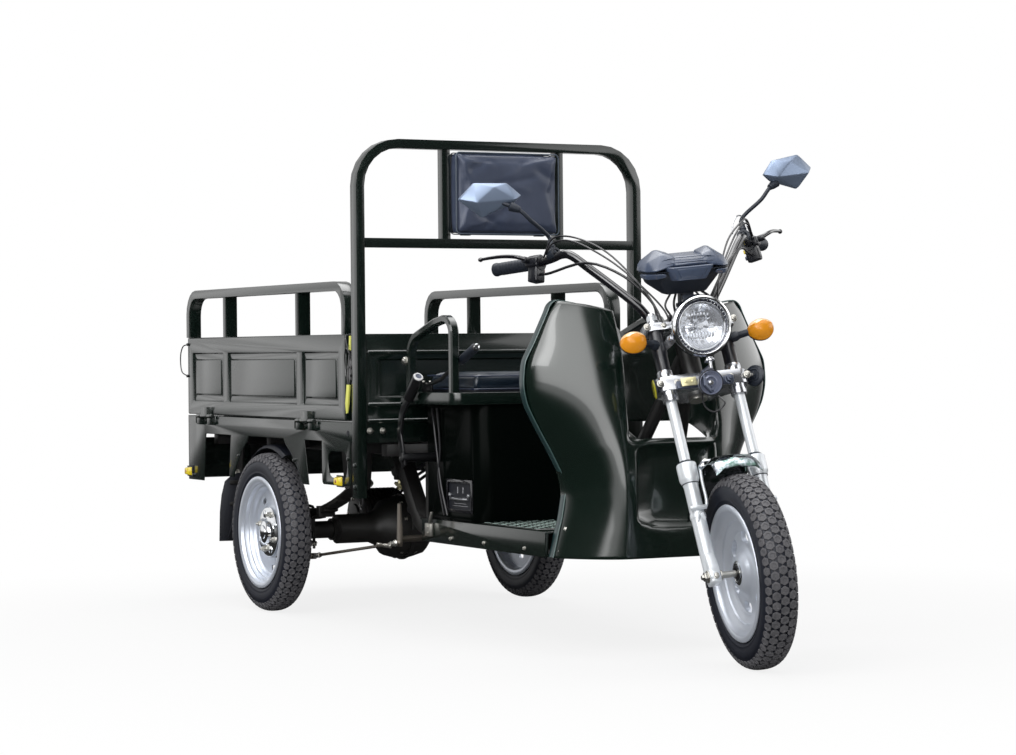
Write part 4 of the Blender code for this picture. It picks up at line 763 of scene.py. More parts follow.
@dataclass
class Studio:
    """Floor, world, lamps and camera.

    Attributes:
        camera_at: Camera position.
        yaw: Turn of the view from +Y towards +X, degrees.
        pitch: Tilt of the view, degrees.
        roll: Roll of the camera, degrees.
        lens: Focal length on a 36 mm sensor.
        lamps: Name, place, size and power of each lamp.
        target: Point that the lamps face.
    """

    camera_at: Point = (-3.476, -7.468 + AXLE, 0.766)
    yaw: float = 27.2626
    pitch: float = -0.5579
    roll: float = -0.4964
    lens: float = 95.72
    lamps: tuple[tuple[str, Point, float, float], ...] = (
        ("key", (-4.5, -2.6, 4.2), 3.6, 170.0), ("fill", (4.0, -3.5, 2.6), 3.0, 45.0),
        ("painted_highlight", (0.0, 1.2, 5.0), 4.0, 110.0))
    target: Point = (0.0, -0.2, 0.6)

    def build(self) -> None:
        """Build everything that isn't the vehicle."""
        bpy.context.scene.view_settings.view_transform = "Standard"
        self.place_camera()
        self.make_floor()
        self.make_world()
        self.make_lamps()

    def place_camera(self) -> None:
        """Place the camera at the photograph's viewpoint."""
        yaw, pitch, roll = (math.radians(v) for v in (self.yaw, self.pitch, self.roll))
        ahead = Vector((math.sin(yaw) * math.cos(pitch), math.cos(yaw) * math.cos(pitch), math.sin(pitch)))
        level = Vector((math.cos(yaw), -math.sin(yaw), 0.0))
        above = level.cross(ahead)
        right = level * math.cos(roll) + above * math.sin(roll)
        up = above * math.cos(roll) - level * math.sin(roll)
        data = bpy.data.cameras.new("camera")
        data.lens, data.sensor_width, data.clip_end = self.lens, 36.0, 200.0
        camera = linked("camera", data)
        camera.matrix_world = shift(self.camera_at) @ Matrix((right, up, -ahead)).transposed().to_4x4()
        bpy.context.scene.camera = camera

    @staticmethod
    def make_floor() -> None:
        """Make the pale floor, which shows almost white to the camera and keeps the soft shadow."""
        bm = bmesh.new()
        bmesh.ops.create_grid(bm, x_segments=1, y_segments=1, size=60.0)
        floor = linked("floor", to_mesh("floor", bm))
        material = bpy.data.materials.new("pale_floor")
        material.use_nodes = True
        tree = material.node_tree
        shader = tree.nodes["Principled BSDF"]
        shader.inputs["Base Color"].default_value = (0.8, 0.8, 0.8, 1.0)
        shader.inputs["Roughness"].default_value = 0.9
        shader.inputs["Specular IOR Level"].default_value = 0.0
        light = put(tree, "ShaderNodeEmission", Color=(1, 1, 1, 1), Strength=1.0)
        path = tree.nodes.new("ShaderNodeLightPath").outputs
        seen = calc(tree, "MAXIMUM", path["Is Camera Ray"], path["Is Transmission Ray"])
        place = tree.nodes.new("ShaderNodeTexCoord").outputs["Object"]
        reach = put(tree, "ShaderNodeVectorMath", {"operation": "LENGTH"}, i0=place).outputs["Value"]
        share = calc(tree, "MULTIPLY", seen, fade(tree, reach, 1.1, 2.6, 0.84, 1.0))
        mix = put(tree, "ShaderNodeMixShader", i0=share, i1=shader.outputs[0], i2=light.outputs[0])
        away = put(tree, "ShaderNodeVectorMath", {"operation": "NORMALIZE"}, i0=place)
        level = calc(
            tree, "MULTIPLY_ADD", Studio.glare(tree, away.outputs[0]), fade(tree, reach, 3.5, 9.0, 0.0, 0.92), 0.03)
        dim = put(tree, "ShaderNodeEmission", Color=(1, 1, 1, 1), Strength=level)
        last = put(tree, "ShaderNodeMixShader", i0=path["Is Glossy Ray"], i1=mix.outputs[0], i2=dim.outputs[0])
        tree.links.new(last.outputs[0], tree.nodes["Material Output"].inputs["Surface"])
        floor.data.materials.append(material)

    @staticmethod
    def glare(tree: Tree, direction: Socket) -> Socket:
        """Make the brightness that reflections meet in a direction: soft bright areas of a hall round the vehicle.

        Args:
            tree: Node tree to add to.
            direction: The direction, +X to the vehicle's left, +Y to its rear.

        Returns:
            The brightness.
        """
        def join(kind: str, first: Socket, *others: Socket | float) -> Socket:
            """Chain a Math node over several values."""
            for other in others:
                first = calc(tree, kind, first, other)
            return first

        x, y, z = put(tree, "ShaderNodeSeparateXYZ", i0=direction).outputs
        right, ahead, down = (calc(tree, "MULTIPLY", v, -1.0) for v in (x, y, z))
        behind = join("MULTIPLY", fade(tree, right, 0.12, 0.32), fade(tree, y, 0.35, 0.75))
        window = join(
            "MULTIPLY", fade(tree, right, 0.04, 0.18, 0.0, 3.5), fade(tree, x, -0.94, -0.8),
            fade(tree, ahead, 0.3, 0.5), fade(tree, z, -0.02, 0.03), fade(tree, down, -0.82, -0.7))
        left = join("MULTIPLY", fade(tree, x, 0.6, 0.95, 0.0, 1.6), fade(tree, z, 0.0, 0.15))
        return join(
            "MAXIMUM", behind, window, left, fade(tree, y, 0.2, 0.75, 0.0, 0.55), fade(tree, z, 0.68, 0.95, 0.0, 3.4),
            0.035)

    @staticmethod
    def make_world() -> None:
        """Make the world: white behind the vehicle, a soft level light, darker in front of it for reflections."""
        world = bpy.data.worlds.new("studio")
        bpy.context.scene.world = world
        world.use_nodes = True
        tree = world.node_tree
        background = tree.nodes["Background"]
        background.inputs["Color"].default_value = (1.0, 1.0, 1.0, 1.0)
        mirror = Studio.glare(tree, tree.nodes.new("ShaderNodeTexCoord").outputs["Generated"])
        path = tree.nodes.new("ShaderNodeLightPath").outputs
        level = put(tree, "ShaderNodeMix", {"data_type": "FLOAT"}, i0=path["Is Glossy Ray"], i2=0.44, i3=mirror)
        seen = calc(tree, "MAXIMUM", path["Is Camera Ray"], path["Is Transmission Ray"])
        strength = put(tree, "ShaderNodeMix", {"data_type": "FLOAT"}, i0=seen, i2=level.outputs[0], i3=1.0)
        tree.links.new(strength.outputs[0], background.inputs["Strength"])

    def make_lamps(self) -> None:
        """Make the soft lamps: a broad one from the right and above, a weak one from the left."""
        for name, at, size, power in self.lamps:
            data = bpy.data.lights.new(name, "AREA")
            data.size, data.energy = size, power
            lamp = linked(name, data)
            lamp.location = at
            lamp.rotation_euler = (Vector(self.target) - Vector(at)).to_track_quat("-Z", "Y").to_euler()


@dataclass(frozen=True)
class Tread:
    """Honeycomb tread of a tyre.

    Attributes:
        count: Blocks round the tyre in each column.
        block: Half the distance over a block's flats.
        columns: Arc positions of the columns from the crown's middle.
        depth: Depth of the grooves.
    """

    count: int = 60
    block: float = 0.0101
    columns: tuple[float, ...] = (-0.0424, -0.0212, 0.0, 0.0212, 0.0424)
    depth: float = 0.0035


@dataclass
class Wheel:
    """One wheel with its tyre, rim, valve, hub and nuts, modelled with its axle along X.

    Attributes:
        name: Start of the pieces' names.
        body: The body that it is.
        place: Placement of the wheel's middle, with +X towards the outer face.
        front: Whether it is the front wheel, with a two-sided rim.
        tread: The tread's blocks.
    """

    name: str
    body: Body
    place: Matrix
    front: bool = False
    tread: Tread = Tread()

    def build(self) -> None:
        """Build the tyre, the rim and the small parts."""
        self.make_tyre()
        self.make_rim()
        self.make_valve()

    def put(
            self, name: str, shape: Mesh, finish: Finish, slot: str, replaces: Sequence[str] = (),
            smooth: float = 30.0) -> None:
        """Place a mesh of the wheel and make its piece."""
        piece(f"{self.name}_{name}", placed(shape, self.place), finish, self.body, replaces, smooth)

    @staticmethod
    def outer_curve() -> list[Vector]:
        """Give one half of the tread's outer line as (x, radius) from the crown to the shoulder, closely spaced."""
        curve = smooth_path(
            points(-16.5, 233.8, 0, 0, 234.9, 0, 16.5, 233.6, 0, 30, 227.8, 0, 38.5, 217.5, 0, 41.2, 206, 0), 12)
        return [p for p in curve if p.x >= -1e-6]

    def surface(self, arc: float) -> tuple[float, float, Vector]:
        """Give x, radius and outward normal at an arc distance from the crown."""
        curve = self.outer_curve()
        left = abs(arc)
        for a, b in zip(curve, curve[1:]):
            length = (b - a).length
            if left <= length or b is curve[-1]:
                p = a + (b - a) * min(left / length, 1.2)
                tangent = (b - a).normalized()
                break
            left -= length
        sign = 1.0 if arc >= 0 else -1.0
        return sign * p.x, p.y, Vector((sign * -tangent.y, tangent.x, 0.0))

    def block_mesh(self, arc: float) -> Mesh:
        """Model one tread block at the given column, at the top of the wheel."""
        bm = bmesh.new()
        half = self.tread.block
        bmesh.ops.create_circle(bm, cap_ends=True, segments=6, radius=half * 1.155)
        side = bmesh.ops.extrude_face_region(bm, geom=bm.faces[:])
        bmesh.ops.translate(
            bm, vec=(0, 0, self.tread.depth), verts=[v for v in side["geom"] if isinstance(v, bmesh.types.BMVert)])
        bm.faces.ensure_lookup_table()
        upper = max(bm.faces, key=lambda f: f.calc_center_median().z)
        for share, depth in ((0.07, 0.0005), (0.46, 0.0), (0.08, -0.0012)):
            bmesh.ops.inset_region(bm, faces=[upper], thickness=half * share, depth=depth)
        for v in bm.verts:
            s, t, h = v.co
            x, radius, normal = self.surface(arc + s)
            lift = h - self.tread.depth - 0.0005
            radius += normal.y * lift
            x += normal.x * lift
            angle = t / 0.2349
            v.co = (x, radius * math.sin(angle), radius * math.cos(angle))
        bmesh.ops.recalc_face_normals(bm, faces=bm.faces)
        return bm

    def make_tyre(self) -> None:
        """Model the tyre: sidewall rings, groove floor and honeycomb blocks."""
        side = pairs(
            34.3, 156, 34.3, 166.4, 35.8, 169, 37.2, 170.2, 38, 172.2, 39.6, 174.5, 40, 177, 39.6, 178.5, 40.6, 183,
            41.2, 190, 41.4, 196, 41.1, 201, 40, 204.5, 38.5, 208.5, 36.8, 214, 33, 220, 26.5, 225.5, 16.5, 229.6, 8,
            231.2)
        profile = side + [(0.0, 0.2315)] + [(-a, b) for a, b in reversed(side)]
        carcass = turned(profile, 96, ring=True)
        blocks = bmesh.new()
        for index, arc in enumerate(self.tread.columns):
            source = to_mesh("block", self.block_mesh(arc))
            for k in range(self.tread.count):
                start = len(blocks.verts)
                blocks.from_mesh(source)
                blocks.verts.ensure_lookup_table()
                turn = Matrix.Rotation(2 * math.pi * (k + 0.5 * (index % 2)) / self.tread.count, 4, "X")
                bmesh.ops.transform(blocks, matrix=turn, verts=blocks.verts[start:])
            bpy.data.meshes.remove(source)
        self.put("tyre_carcass", carcass, RUBBER, "tyre", [f"{self.name}_tyre"], 50.0)
        # The tread blocks' lighter finish is a painted highlight on the tyre rubber.
        self.put("tyre_tread_painted_highlight", blocks, LIT_TREAD, "tyre")

    def make_rim(self) -> None:
        """Model the rim with its lips, stepped barrel, windows and hub."""
        lip = pairs(
            34.5, 147.8, 37.2, 149, 39, 151.2, 40, 154.5, 40.4, 159, 40.2, 163, 39.2, 165.3, 37.5, 166, 35.7, 165.2,
            34.7, 163, 34.7, 155.7)
        if self.front:
            face = pairs(
                18, 0, 18, 14.5, 28, 16, 31, 18, 31.8, 21.5, 31.4, 24.5, 29.6, 27, 29, 33, 26.2, 39.5, 21.2, 45, 15, 50,
                10.8, 54, 9, 60, 7.6, 62.5, 6.6, 68, 6.2, 93, 7, 98.5, 9.5, 101.5, 12, 106, 15, 118, 16.5, 123, 20.5,
                125.2, 23, 130, 25, 138, 27.5, 142)
            shape = face + lip + [(-a, b) for a, b in reversed(face + lip)]
        else:
            face = pairs(
                6, 0, 6, 40, 5.2, 62, 3, 65, 2, 76, 0, 80, -4, 85, -5.5, 93, -6, 120, -5, 126, -1.5, 129.5, 4, 131, 12,
                133, 15, 135.2, 16.2, 139.5, 20, 141, 27, 142.5, 29, 145.5)
            back = pairs(-34.5, 147.8, -30, 144, -12.5, 142, -12, 130, -10.5, 90, -10, 0)
            shape = face + lip + [(-a, b) for a, b in reversed(lip[1:])] + back
        rim = turned(shape, 96)
        self.put("rim_finished", carved(rim, self.windows()), RIM, "rim", [f"{self.name}_rim"])
        if self.front:
            self.make_front_hub()
        else:
            self.make_rear_hub()

    def windows(self) -> list[Mesh]:
        """Give the cutters of the rim's windows."""
        count, radius, size, steps = (6, 0.086, 0.013, (-0.14, 0.0, 0.14)) if self.front else (
            5, 0.107, 0.0085, (-0.05, 0.05))
        cutters = []
        for k in range(count):
            for step in steps:
                y, z = on_circle(radius, k + 0.5, count, step)
                cutters.append(rod((-0.05, y, z), (0.05, y, z), size, 24))
        return cutters

    def make_front_hub(self) -> None:
        """Model the polished bearing cups and the seals of the front hub."""
        for sign, side in reversed(SIDES):
            flip = Matrix.Scale(sign, 4, OUT)
            for name, finish, slot, steps, profile in ((
                "cup", CHROME, "chrome", 48,
                pairs(29, 18.2, 31.2, 19, 32.4, 21.5, 32, 25, 30.4, 28.5, 28.2, 31, 27, 30, 27.5, 18.2)),
                    (
                        "seal", CABLE, "rubber", 32,
                        pairs(18.5, 10, 32, 10.5, 33.4, 12.5, 33.4, 17, 31.8, 18.6, 18.5, 18.4))):
                self.put(
                    f"hub_{name}_{side}", placed(turned(profile, steps, ring=True), flip), finish, slot, smooth=35.0)

    def make_rear_hub(self) -> None:
        """Model the polished hub with its flange, wheel nuts and grease cap."""
        parts = [turned(pairs(
            5.5, 0, 5.5, 72.5, 6.8, 74.2, 8.8, 74.2, 10.4, 72, 11, 43, 12.2, 38.5, 15, 35.2, 24, 32.5, 25.6, 30, 26.2,
            23.5, 26.6, 20.5, 29.2, 19.8, 29.9, 18, 29.9, 0), 64)]
        nuts = []
        for k in range(4):
            nuts.append(hex_bolt((0.0106, *on_circle(0.056, k + 0.25, 4)), OUT, 0.0155, 0.0085, stud=0.006))
            y, z = on_circle(0.056, k + 0.25, 4, 0.785)
            parts.append(rod((0.008, y, z), (0.0132, y, z), 0.011, 20, bevel=0.0016))
        self.put("hub", joined(parts), CHROME, "chrome")
        self.put("wheel_nuts", joined(nuts), ZINC, "chrome")

    def make_valve(self) -> None:
        """Model the tyre valve on the barrel."""
        angle, x, radius = (0.9, 0.02, 0.138) if self.front else (2.2, 0.01, 0.14)
        out = Vector((0, math.sin(angle), math.cos(angle)))
        foot = out * radius + Vector((x, 0, 0))
        along = Vector((0.012, 0, 0)) - out * 0.026
        stem = [
            rod(foot, foot + along * 0.62, 0.0055, 16, bevel=0.001, end_radius=0.004),
            rod(foot + along * 0.6, foot + along, 0.0037, 12, bevel=0.0008)]
        self.put("valve", joined(stem), CABLE, "rubber", smooth=35.0)


@dataclass
class Wheels:
    """The three wheels."""

    def build(self) -> None:
        """Build them in place."""
        Wheel("rear_right", Body.REAR_RIGHT, shift((-0.425, AXLE, 0.235)) @ turned_by(180, "Z")).build()
        Wheel("rear_left", Body.REAR_LEFT, shift((0.425, AXLE, 0.235))).build()
        Wheel("front", Body.FRONT_WHEEL, STEER @ shift((0.0, -0.063, -0.53707)), front=True).build()


@dataclass
class Bodywork:
    """Rigid CAD nodes that are shown with rounded edges and a finish.

    Attributes:
        dresses: Nodes with their body, finish, slot and the radius of their edges.
        angle: Edges bent more than this many degrees are rounded.
    """

    dresses: tuple[tuple[str, Body, Finish, str, float], ...] = (
        ("chassis_frame", Body.CHASSIS, UNDERFRAME, "underframe", 0.0012),
        ("floor_pan", Body.CHASSIS, PAINT, "paint", 0.0015), ("seat_box", Body.CHASSIS, BOX_PAINT, "paint", 0.002),
        ("seat_plate", Body.CHASSIS, PAINT, "paint", 0.002),
        ("armrest_right armrest_left", Body.CHASSIS, PAINT, "paint", 0.0),
        ("hoop", Body.CHASSIS, PAINT, "paint", 0.002),
        ("bed_beam_right bed_beam_left bed_floor bulkhead", Body.CHASSIS, PAINT, "paint", 0.0015),
        ("gate_right", Body.RIGHT_GATE, PAINT, "paint", 0.0015), ("gate_left", Body.LEFT_GATE, PAINT, "paint", 0.0015),
        ("tailgate", Body.TAILGATE, PAINT, "paint", 0.0015),
        ("gate_rail_right", Body.RIGHT_GATE, PAINT, "paint", 0.0015),
        ("gate_rail_left", Body.LEFT_GATE, PAINT, "paint", 0.0015),
        ("leaf_spring_right leaf_spring_left", Body.CHASSIS, SPRING, "spring", 0.0015),
        ("rear_axle drive_motor", Body.CHASSIS, UNDERFRAME, "underframe", 0.0015),
        ("rear_mudguard_right rear_mudguard_left", Body.CHASSIS, GUARD, "guard", 0.0008),
        ("tail_plate", Body.CHASSIS, PAINT, "paint", 0.0015), ("brake_pedal", Body.CHASSIS, STEEL, "steel", 0.0015))
    angle: float = 35.0

    def build(self) -> None:
        """Build every dressed node."""
        for nodes, body, finish, slot, radius in self.dresses:
            for node in nodes.split():
                softened(node, finish, body, radius, self.angle)


@dataclass
class Headlamp:
    """Chrome headlamp with a faceted reflector, its bracket and the horn below it.

    Attributes:
        frame: Placement of the lamp, with +X into the lamp from its face.
        ticks: Number of light marks on the dark ring.
        facets: Steps of the reflector's turn.
    """

    frame: Matrix = field(
        default_factory=lambda: STEER @ shift((0, -0.15, 0.07)) @ turned_by(24.0, "X") @ turned_by(90, "Z"))
    ticks: int = 40
    facets: int = 30

    def build(self) -> None:
        """Build the lamp and the horn."""
        self.lamp()
        self.horn()

    def lamp(self) -> None:
        """Build the shell, rings, light marks, reflector, lens and bulb."""
        for name, finish, steps, ring, replaces, profile in ((
            "shell", CHROME, 56, False, ["headlamp"],
            pairs(14, 72.5, 30, 70, 44, 61, 56, 48, 66, 28, 70, 0, 66, 0, 62, 26, 52, 45, 40, 58, 28, 66, 14, 69)),
                (
                    "ring", CHROME, 72, True, [],
                    pairs(18, 73.5, 14, 76.8, 6, 77.2, 0, 75.2, -2.5, 71.5, -2, 68, 1, 65, 6, 64, 8, 66, 12, 70)),
                ("dark_ring", BEZEL, 72, True, [], pairs(3, 65, 4.8, 60.6, 8, 60.6, 6.2, 65.5)),
                (
                    "inner_ring", CHROME, 72, True, [],
                    pairs(5, 61.4, 3.6, 60.6, 3.4, 58.8, 5, 56, 12, 55.2, 12, 57.5, 7.5, 61.4))):
            steered(f"headlamp_{name}", [turned(profile, steps, ring)], finish, replaces, at=self.frame)
        marks = [placed(
            box((0.0026, 0.0612, -0.0011), (0.005, 0.0648, 0.0011), 0.0003, 1), turned_by(360 * k / self.ticks, "X"))
            for k in range(self.ticks)]
        steered("headlamp_ring_marks", marks, CHROME, at=self.frame)
        self.reflector()
        lens = turned(
            pairs(-5, 0, -4.5, 20, -3, 38, -0.5, 52, 1.6, 60, 3.4, 60, 1.2, 51.5, -1.4, 37.5, -2.9, 20, -3.4, 0), 64)
        steered("headlamp_lens", [lens], GLASS, at=self.frame, smooth=60.0).visible_shadow = False
        bulb = [
            turned(pairs(16, 0, 16, 6, 19, 8.5, 34, 9.2, 34, 0), 24),
            box((0.018, -0.03, -0.0012), (0.021, 0.03, 0.0012), 0.0005, 1)]
        steered("headlamp_bulb_hood", bulb, CHROME, at=self.frame)

    def reflector(self) -> None:
        """Build the bowl of flat facets, each tipped a little by its own amount, its flutes and the lamp's bracket."""
        rng = random.Random(7)
        bowl = turned(pairs(
            13, 53, 10.5, 51, 19, 43, 27, 34, 33, 24, 37, 13, 38.5, 0, 40, 0, 38.5, 14, 34.5, 25, 28.5, 35.5, 20.5,
            44.5), self.facets)
        for vert in bowl.verts:
            if 0.014 < vert.co.x < 0.0375 and vert.co.yz.length > 0.01:
                vert.co.x += rng.uniform(-0.0016, 0.0016)
        bmesh.ops.scale(bowl, vec=(1.0, 1.07, 1.07), verts=bowl.verts)
        flutes = []
        for k in range(11):
            y = -0.04 + k * 0.008
            reach = math.sqrt(0.0475 ** 2 - y * y)
            depth = 0.0375 - 0.9 * (abs(y) / 0.052) ** 2 * 0.0255
            for low, high in ((-reach, -0.016), (0.018, reach * 0.75)):
                if high - low > 0.012:
                    flutes.append(rod(
                        (depth - 0.004, y, low * 0.96), (depth - 0.006, y * 1.02, high * 0.96), 0.0034, 10,
                        bevel=0.0012))
        steered("headlamp_reflector", [bowl], REFLECTOR, at=self.frame, smooth=1.0)
        steered("headlamp_flutes", flutes, REFLECTOR, at=self.frame)
        arm = joined([hull(
            points(62, -125, 52, 62, -105, 52, 74, -58, 50, 74, -50, 62, 66, -120, 78, 66, -104, 78, 78, -58, 74),
            0.002), hex_bolt((0.07, -0.098, 0.066), (0.9, -0.45, 0), 0.014, 0.006)])
        bracket = [
            box((-0.016, -0.1, 0.078), (0.016, -0.048, 0.1035), 0.003), paired(arm),
            rod((0, -0.142, -0.01), (0, -0.136, -0.036), 0.0042, 12),
            hex_bolt((0, -0.142, -0.012), (0, 0.1, -1), 0.014, 0.006),
            box((-0.011, -0.147, -0.02), (0.011, -0.128, -0.014), 0.002)]
        steered("headlamp_bracket", bracket, FORK_CHROME)

    def horn(self) -> None:
        """Build the disc horn, its hexagonal back plate and the blank zinc plate beside it."""
        centre, ahead = Vector((-0.004, -0.124, -0.069)), Vector((0, -0.914, -0.407))
        body = disc(pairs(
            -40, 0, -36, 16, -24, 27, -12, 30, -4, 31.2, 0.5, 30.5, 1.2, 28, -1, 26.5, -6, 25.5, -6.4, 19.5, -1.2, 18,
            0, 14.5, -5.8, 13, -5.8, 9.5, -0.6, 8.5, 1.2, 0), centre, ahead, 64)
        steered("horn_disc", [body], HORN, ["horn"])
        steered(
            "horn_edge", [disc(pairs(0, 31.8, 1.6, 31.2, 1.8, 29.6, 0.4, 29, -2, 30.5), centre, ahead, 64, True)],
            CABLE)
        steered(
            "horn_bright_parts", [disc(pairs(0, 7.5, 2.6, 6, 3.4, 3.5, 4, 0), centre, ahead, 32)], FORK_CHROME)
        bracket = [rod(
            centre - ahead * 0.02 + Vector((0.004, 0, 0.004)), centre - ahead * 0.013 + Vector((0.009, 0, 0.006)),
            0.038, 6, bevel=0.002), rod((0, -0.0724, -0.046), (0, -0.1, -0.058), 0.012, 20, bevel=0.002),
            box((-0.076, -0.084, -0.06), (0.07, -0.0735, -0.04), 0.0025),
            hex_bolt((0.0595, -0.084, -0.05), (0, -1, 0), 0.02, 0.01, stud=0.004),
            hex_bolt((0.025, -0.1048, -0.0742), ahead, 0.009, 0.005)]
        steered("horn_bracket", bracket, SLATE)
        blank = [
            box((-0.07, -0.1015, -0.062), (-0.03, -0.0975, -0.04), 0.0015),
            *(rod((x, -0.1012, -0.051), (x, -0.103, -0.051), 0.0035, 14, bevel=0.0006) for x in (-0.058, -0.041)),
            rod((-0.05, -0.0985, -0.051), (-0.05, -0.08, -0.051), 0.004, 12)]
        steered("blank_zinc_plate", blank, BRASS)
        wire = cord(points(12, -110, -100, 20, -120, -125, -6, -108, -140, -20, -85, -110, -10, -72, -60), 0.0022, 8)
        steered("horn_wire", [wire], CABLE)


@dataclass
class Indicators:
    """Oval amber turn signals on black stems, each lens with a pale glowing band on its top as a painted highlight,
    with the shrouds between the fork clamps.

    Attributes:
        centre: Middle of the left lens in the steering frame.
    """

    centre: Point = (0.166, -0.103, 0.066)

    def build(self) -> None:
        """Build both signals."""
        for side, name in SIDES:
            x, y, z = self.centre
            middle = STEER @ shift((side * x, y, z)) @ turned_by(90, "Z")
            oval = middle @ Matrix.Diagonal((1.0, 1.28, 1.0, 1.0))
            lens = turned(pairs(-24, 0, -23.6, 8, -21.5, 14, -16.5, 19.2, -8, 23.4, 2, 25.8, 9.5, 26.2, 12, 25, 12, 0))
            steered(f"signal_{name}_lens", [lens], AMBER, [f"signal_{name}"], oval, 60.0)
            ribs = []
            for k in range(5):
                across, back = 0.0235 * math.sin(math.radians(-52 + 26 * k)), 0.01 * (k - 2) ** 2 / 4
                ribs.append(rod((back - 0.0215, across, 0.0005), (back - 0.0185, across, 0.0005), 0.0026, 10, 0.0008))
            steered(f"signal_{name}_bulbs", ribs, EMBER, at=middle)
            # Pale glowing band over the top of the lens: a painted highlight where light falls on it.
            highlight_band = turned(
                pairs(-22.5, 13.4, -17.2, 19.8, -8.4, 24.1, 1.6, 26.4, 1.6, 25.5, -8, 23.2, -16.5, 19, -21.2, 13), 48,
                ring=True)
            bmesh.ops.bisect_plane(
                highlight_band, geom=highlight_band.verts[:] + highlight_band.edges[:] + highlight_band.faces[:], plane_co=(0, 0, 0.0085), plane_no=(0, 0, -1),
                clear_outer=True)
            bmesh.ops.holes_fill(highlight_band, edges=[e for e in highlight_band.edges if e.is_boundary])
            steered(f"signal_{name}_top", [highlight_band], LENS_TOP_HIGHLIGHT, at=oval, smooth=60.0)
            back = turned(pairs(11.8, 0, 11.8, 25.6, 16, 25.8, 21.5, 20.8, 26.2, 11, 29, 0))
            stem = [rod((side * 0.0885, -0.058, 0.066), (side * 0.15, -0.098, 0.066), 0.0088, 20),
                disc(
                    pairs(0, 12.5, 10, 12.5, 18, 9.5, 18, 0, 0, 0), (side * 0.1, -0.0655, 0.066),
                    (side * 0.84, -0.54, 0), 24)]
            shell = [placed(back, oval), placed(joined(stem), STEER)]
            piece(f"signal_{name}_shell", joined(shell), GRIP, Body.STEERING)
            shroud = disc(pairs(
                0, 15, 0, 18.5, 12, 19.2, 16, 17.8, 40, 17.6, 60, 17.6, 64, 19.2, 100, 18.5, 123.2, 18.5, 123.2, 15),
                (side * 0.0888, -0.05, -0.0197), UP, 36, ring=True)
            steered(f"fork_shroud_{name}", [shroud], PLASTIC)


@dataclass
class InstrumentPod:
    """Faceted two-part lid with two humps, its lip, chin, dark tub and the rider's screen.

    Attributes:
        frame: Placement of the pod, z up and out of its lid.
    """

    frame: Matrix = field(default_factory=lambda: STEER @ shift((-0.003, -0.114, 0.239)) @ turned_by(30.0, "X"))

    def build(self) -> None:
        """Build the pod."""
        hump = hull(points(
            112, 29, 4, 112, -30, 6, 92, -60, 7, 108, 29, 27, 100, -24, 30, 68, 16, 57, 64, -34, 49, 36, 16, 46, 34,
            -40, 41, 34, -62, 21, 34, 29, 4), 0.0045)
        middle = hull(points(40, 24, 42, 40, -40, 38.5, 42, -63, 21, 42, 28, 4, 42, -57, 15), 0.004, mirrored=True)
        crease = []
        for k in range(2):
            z, end, near = 0.036 - 0.011 * k, -0.04 - 0.006 * k, -0.049 - 0.007 * k
            crease.append(cord([
                (-0.088, end, z - 0.011), (-0.05, near, z), (0.0, -0.0505 - 0.0075 * k, z + 0.001), (0.05, near, z),
                (0.088, end, z - 0.011)], 0.0012, 8, steps=5))
        lid = joined([paired(hump), middle])
        steered("pod_lid", [lid], POD, ["instrument_pod"], smooth=50.0, at=self.frame)
        steered("pod_lid_creases", crease, POD, at=self.frame)
        tub = hull(
            points(103, 28, 2, 88, -50, 3, 96, 20, -24, 52, 18, -56, 50, -16, -56, 75, -46, -12), 0.004, mirrored=True)
        seal = hull(
            points(107, 28.5, 3.5, 107, -30, 4.5, 88, -58, 5, 107, 28.5, 0.5, 105, -30, 1, 86, -54, 1), 0.001, 1, True)
        steered("pod_tub", [tub, seal], GRIP, smooth=50.0, at=self.frame)
        chin = hull(points(64, -58, 16, 50, -71.5, 15, 36, -66, -19, 50, -30, -20, 64, -40, 14), 0.003, mirrored=True)
        lips = hull(points(
            111, 10, -1, 110, -30, 1, 90, -59, 1, 62, -64, 1, 108, 6, -13, 104, -28, -14, 86, -52, -12, 64, -58, -10),
            0.003)
        window = hull(points(40, -72.2, 10, 28, -69, -12.5, 40, -67.2, 10, 28, -64, -12.5), 0.0015, 2, True)
        steered("pod_chin", [chin, paired(lips), window], POD, smooth=50.0, at=self.frame)
        self.rider_side()

    def rider_side(self) -> None:
        """Build the screen, its frame, the key switch and the pod's stay."""
        lean = shift((0, 0.0325, 0.016)) @ turned_by(-26, "X")
        frame_ring = hull(points(98, -6, -16, 86, -6, 17, 98, 1.5, -16, 86, 1.5, 17), 0.002, 2, True)
        screen = hull(points(88, 1, -12, 78, 1, 13, 88, 2.5, -12, 78, 2.5, 13), 0.0006, 1, True)
        steered("pod_screen_frame", [placed(frame_ring, lean)], GRIP, at=self.frame)
        steered("pod_screen", [placed(screen, lean)], SCREEN, at=self.frame)
        post = joined([
            hull(points(18, -62, 126, 18, -32, 126, 18, -80, 200, 18, -112, 206), 0.003, mirrored=True),
            paired(hex_bolt((0.018, -0.07, 0.165), OUT, 0.012, 0.005)),
            rod((0.0, -0.03, 0.118), (0.0, -0.03, 0.136), 0.017, 28, bevel=0.002),
            box((-0.0225, -0.118, 0.12), (0.0225, -0.112, 0.17), 0.002)])
        steered("pod_post", [post], GRIP)
        tangle = []
        for k, x in enumerate((-0.04, -0.026, -0.012, 0.01, 0.024, 0.038)):
            tangle.append(cord([
                (x, -0.092, 0.19), (x * 1.5, -0.088 - 0.006 * (k % 3), 0.16),
                (x * 1.2, -0.078 + 0.008 * (k % 2), 0.134), (x, -0.068, 0.11)], 0.0026 + 0.0005 * (k % 2), 8))
        steered("pod_wires", tangle, CABLE)


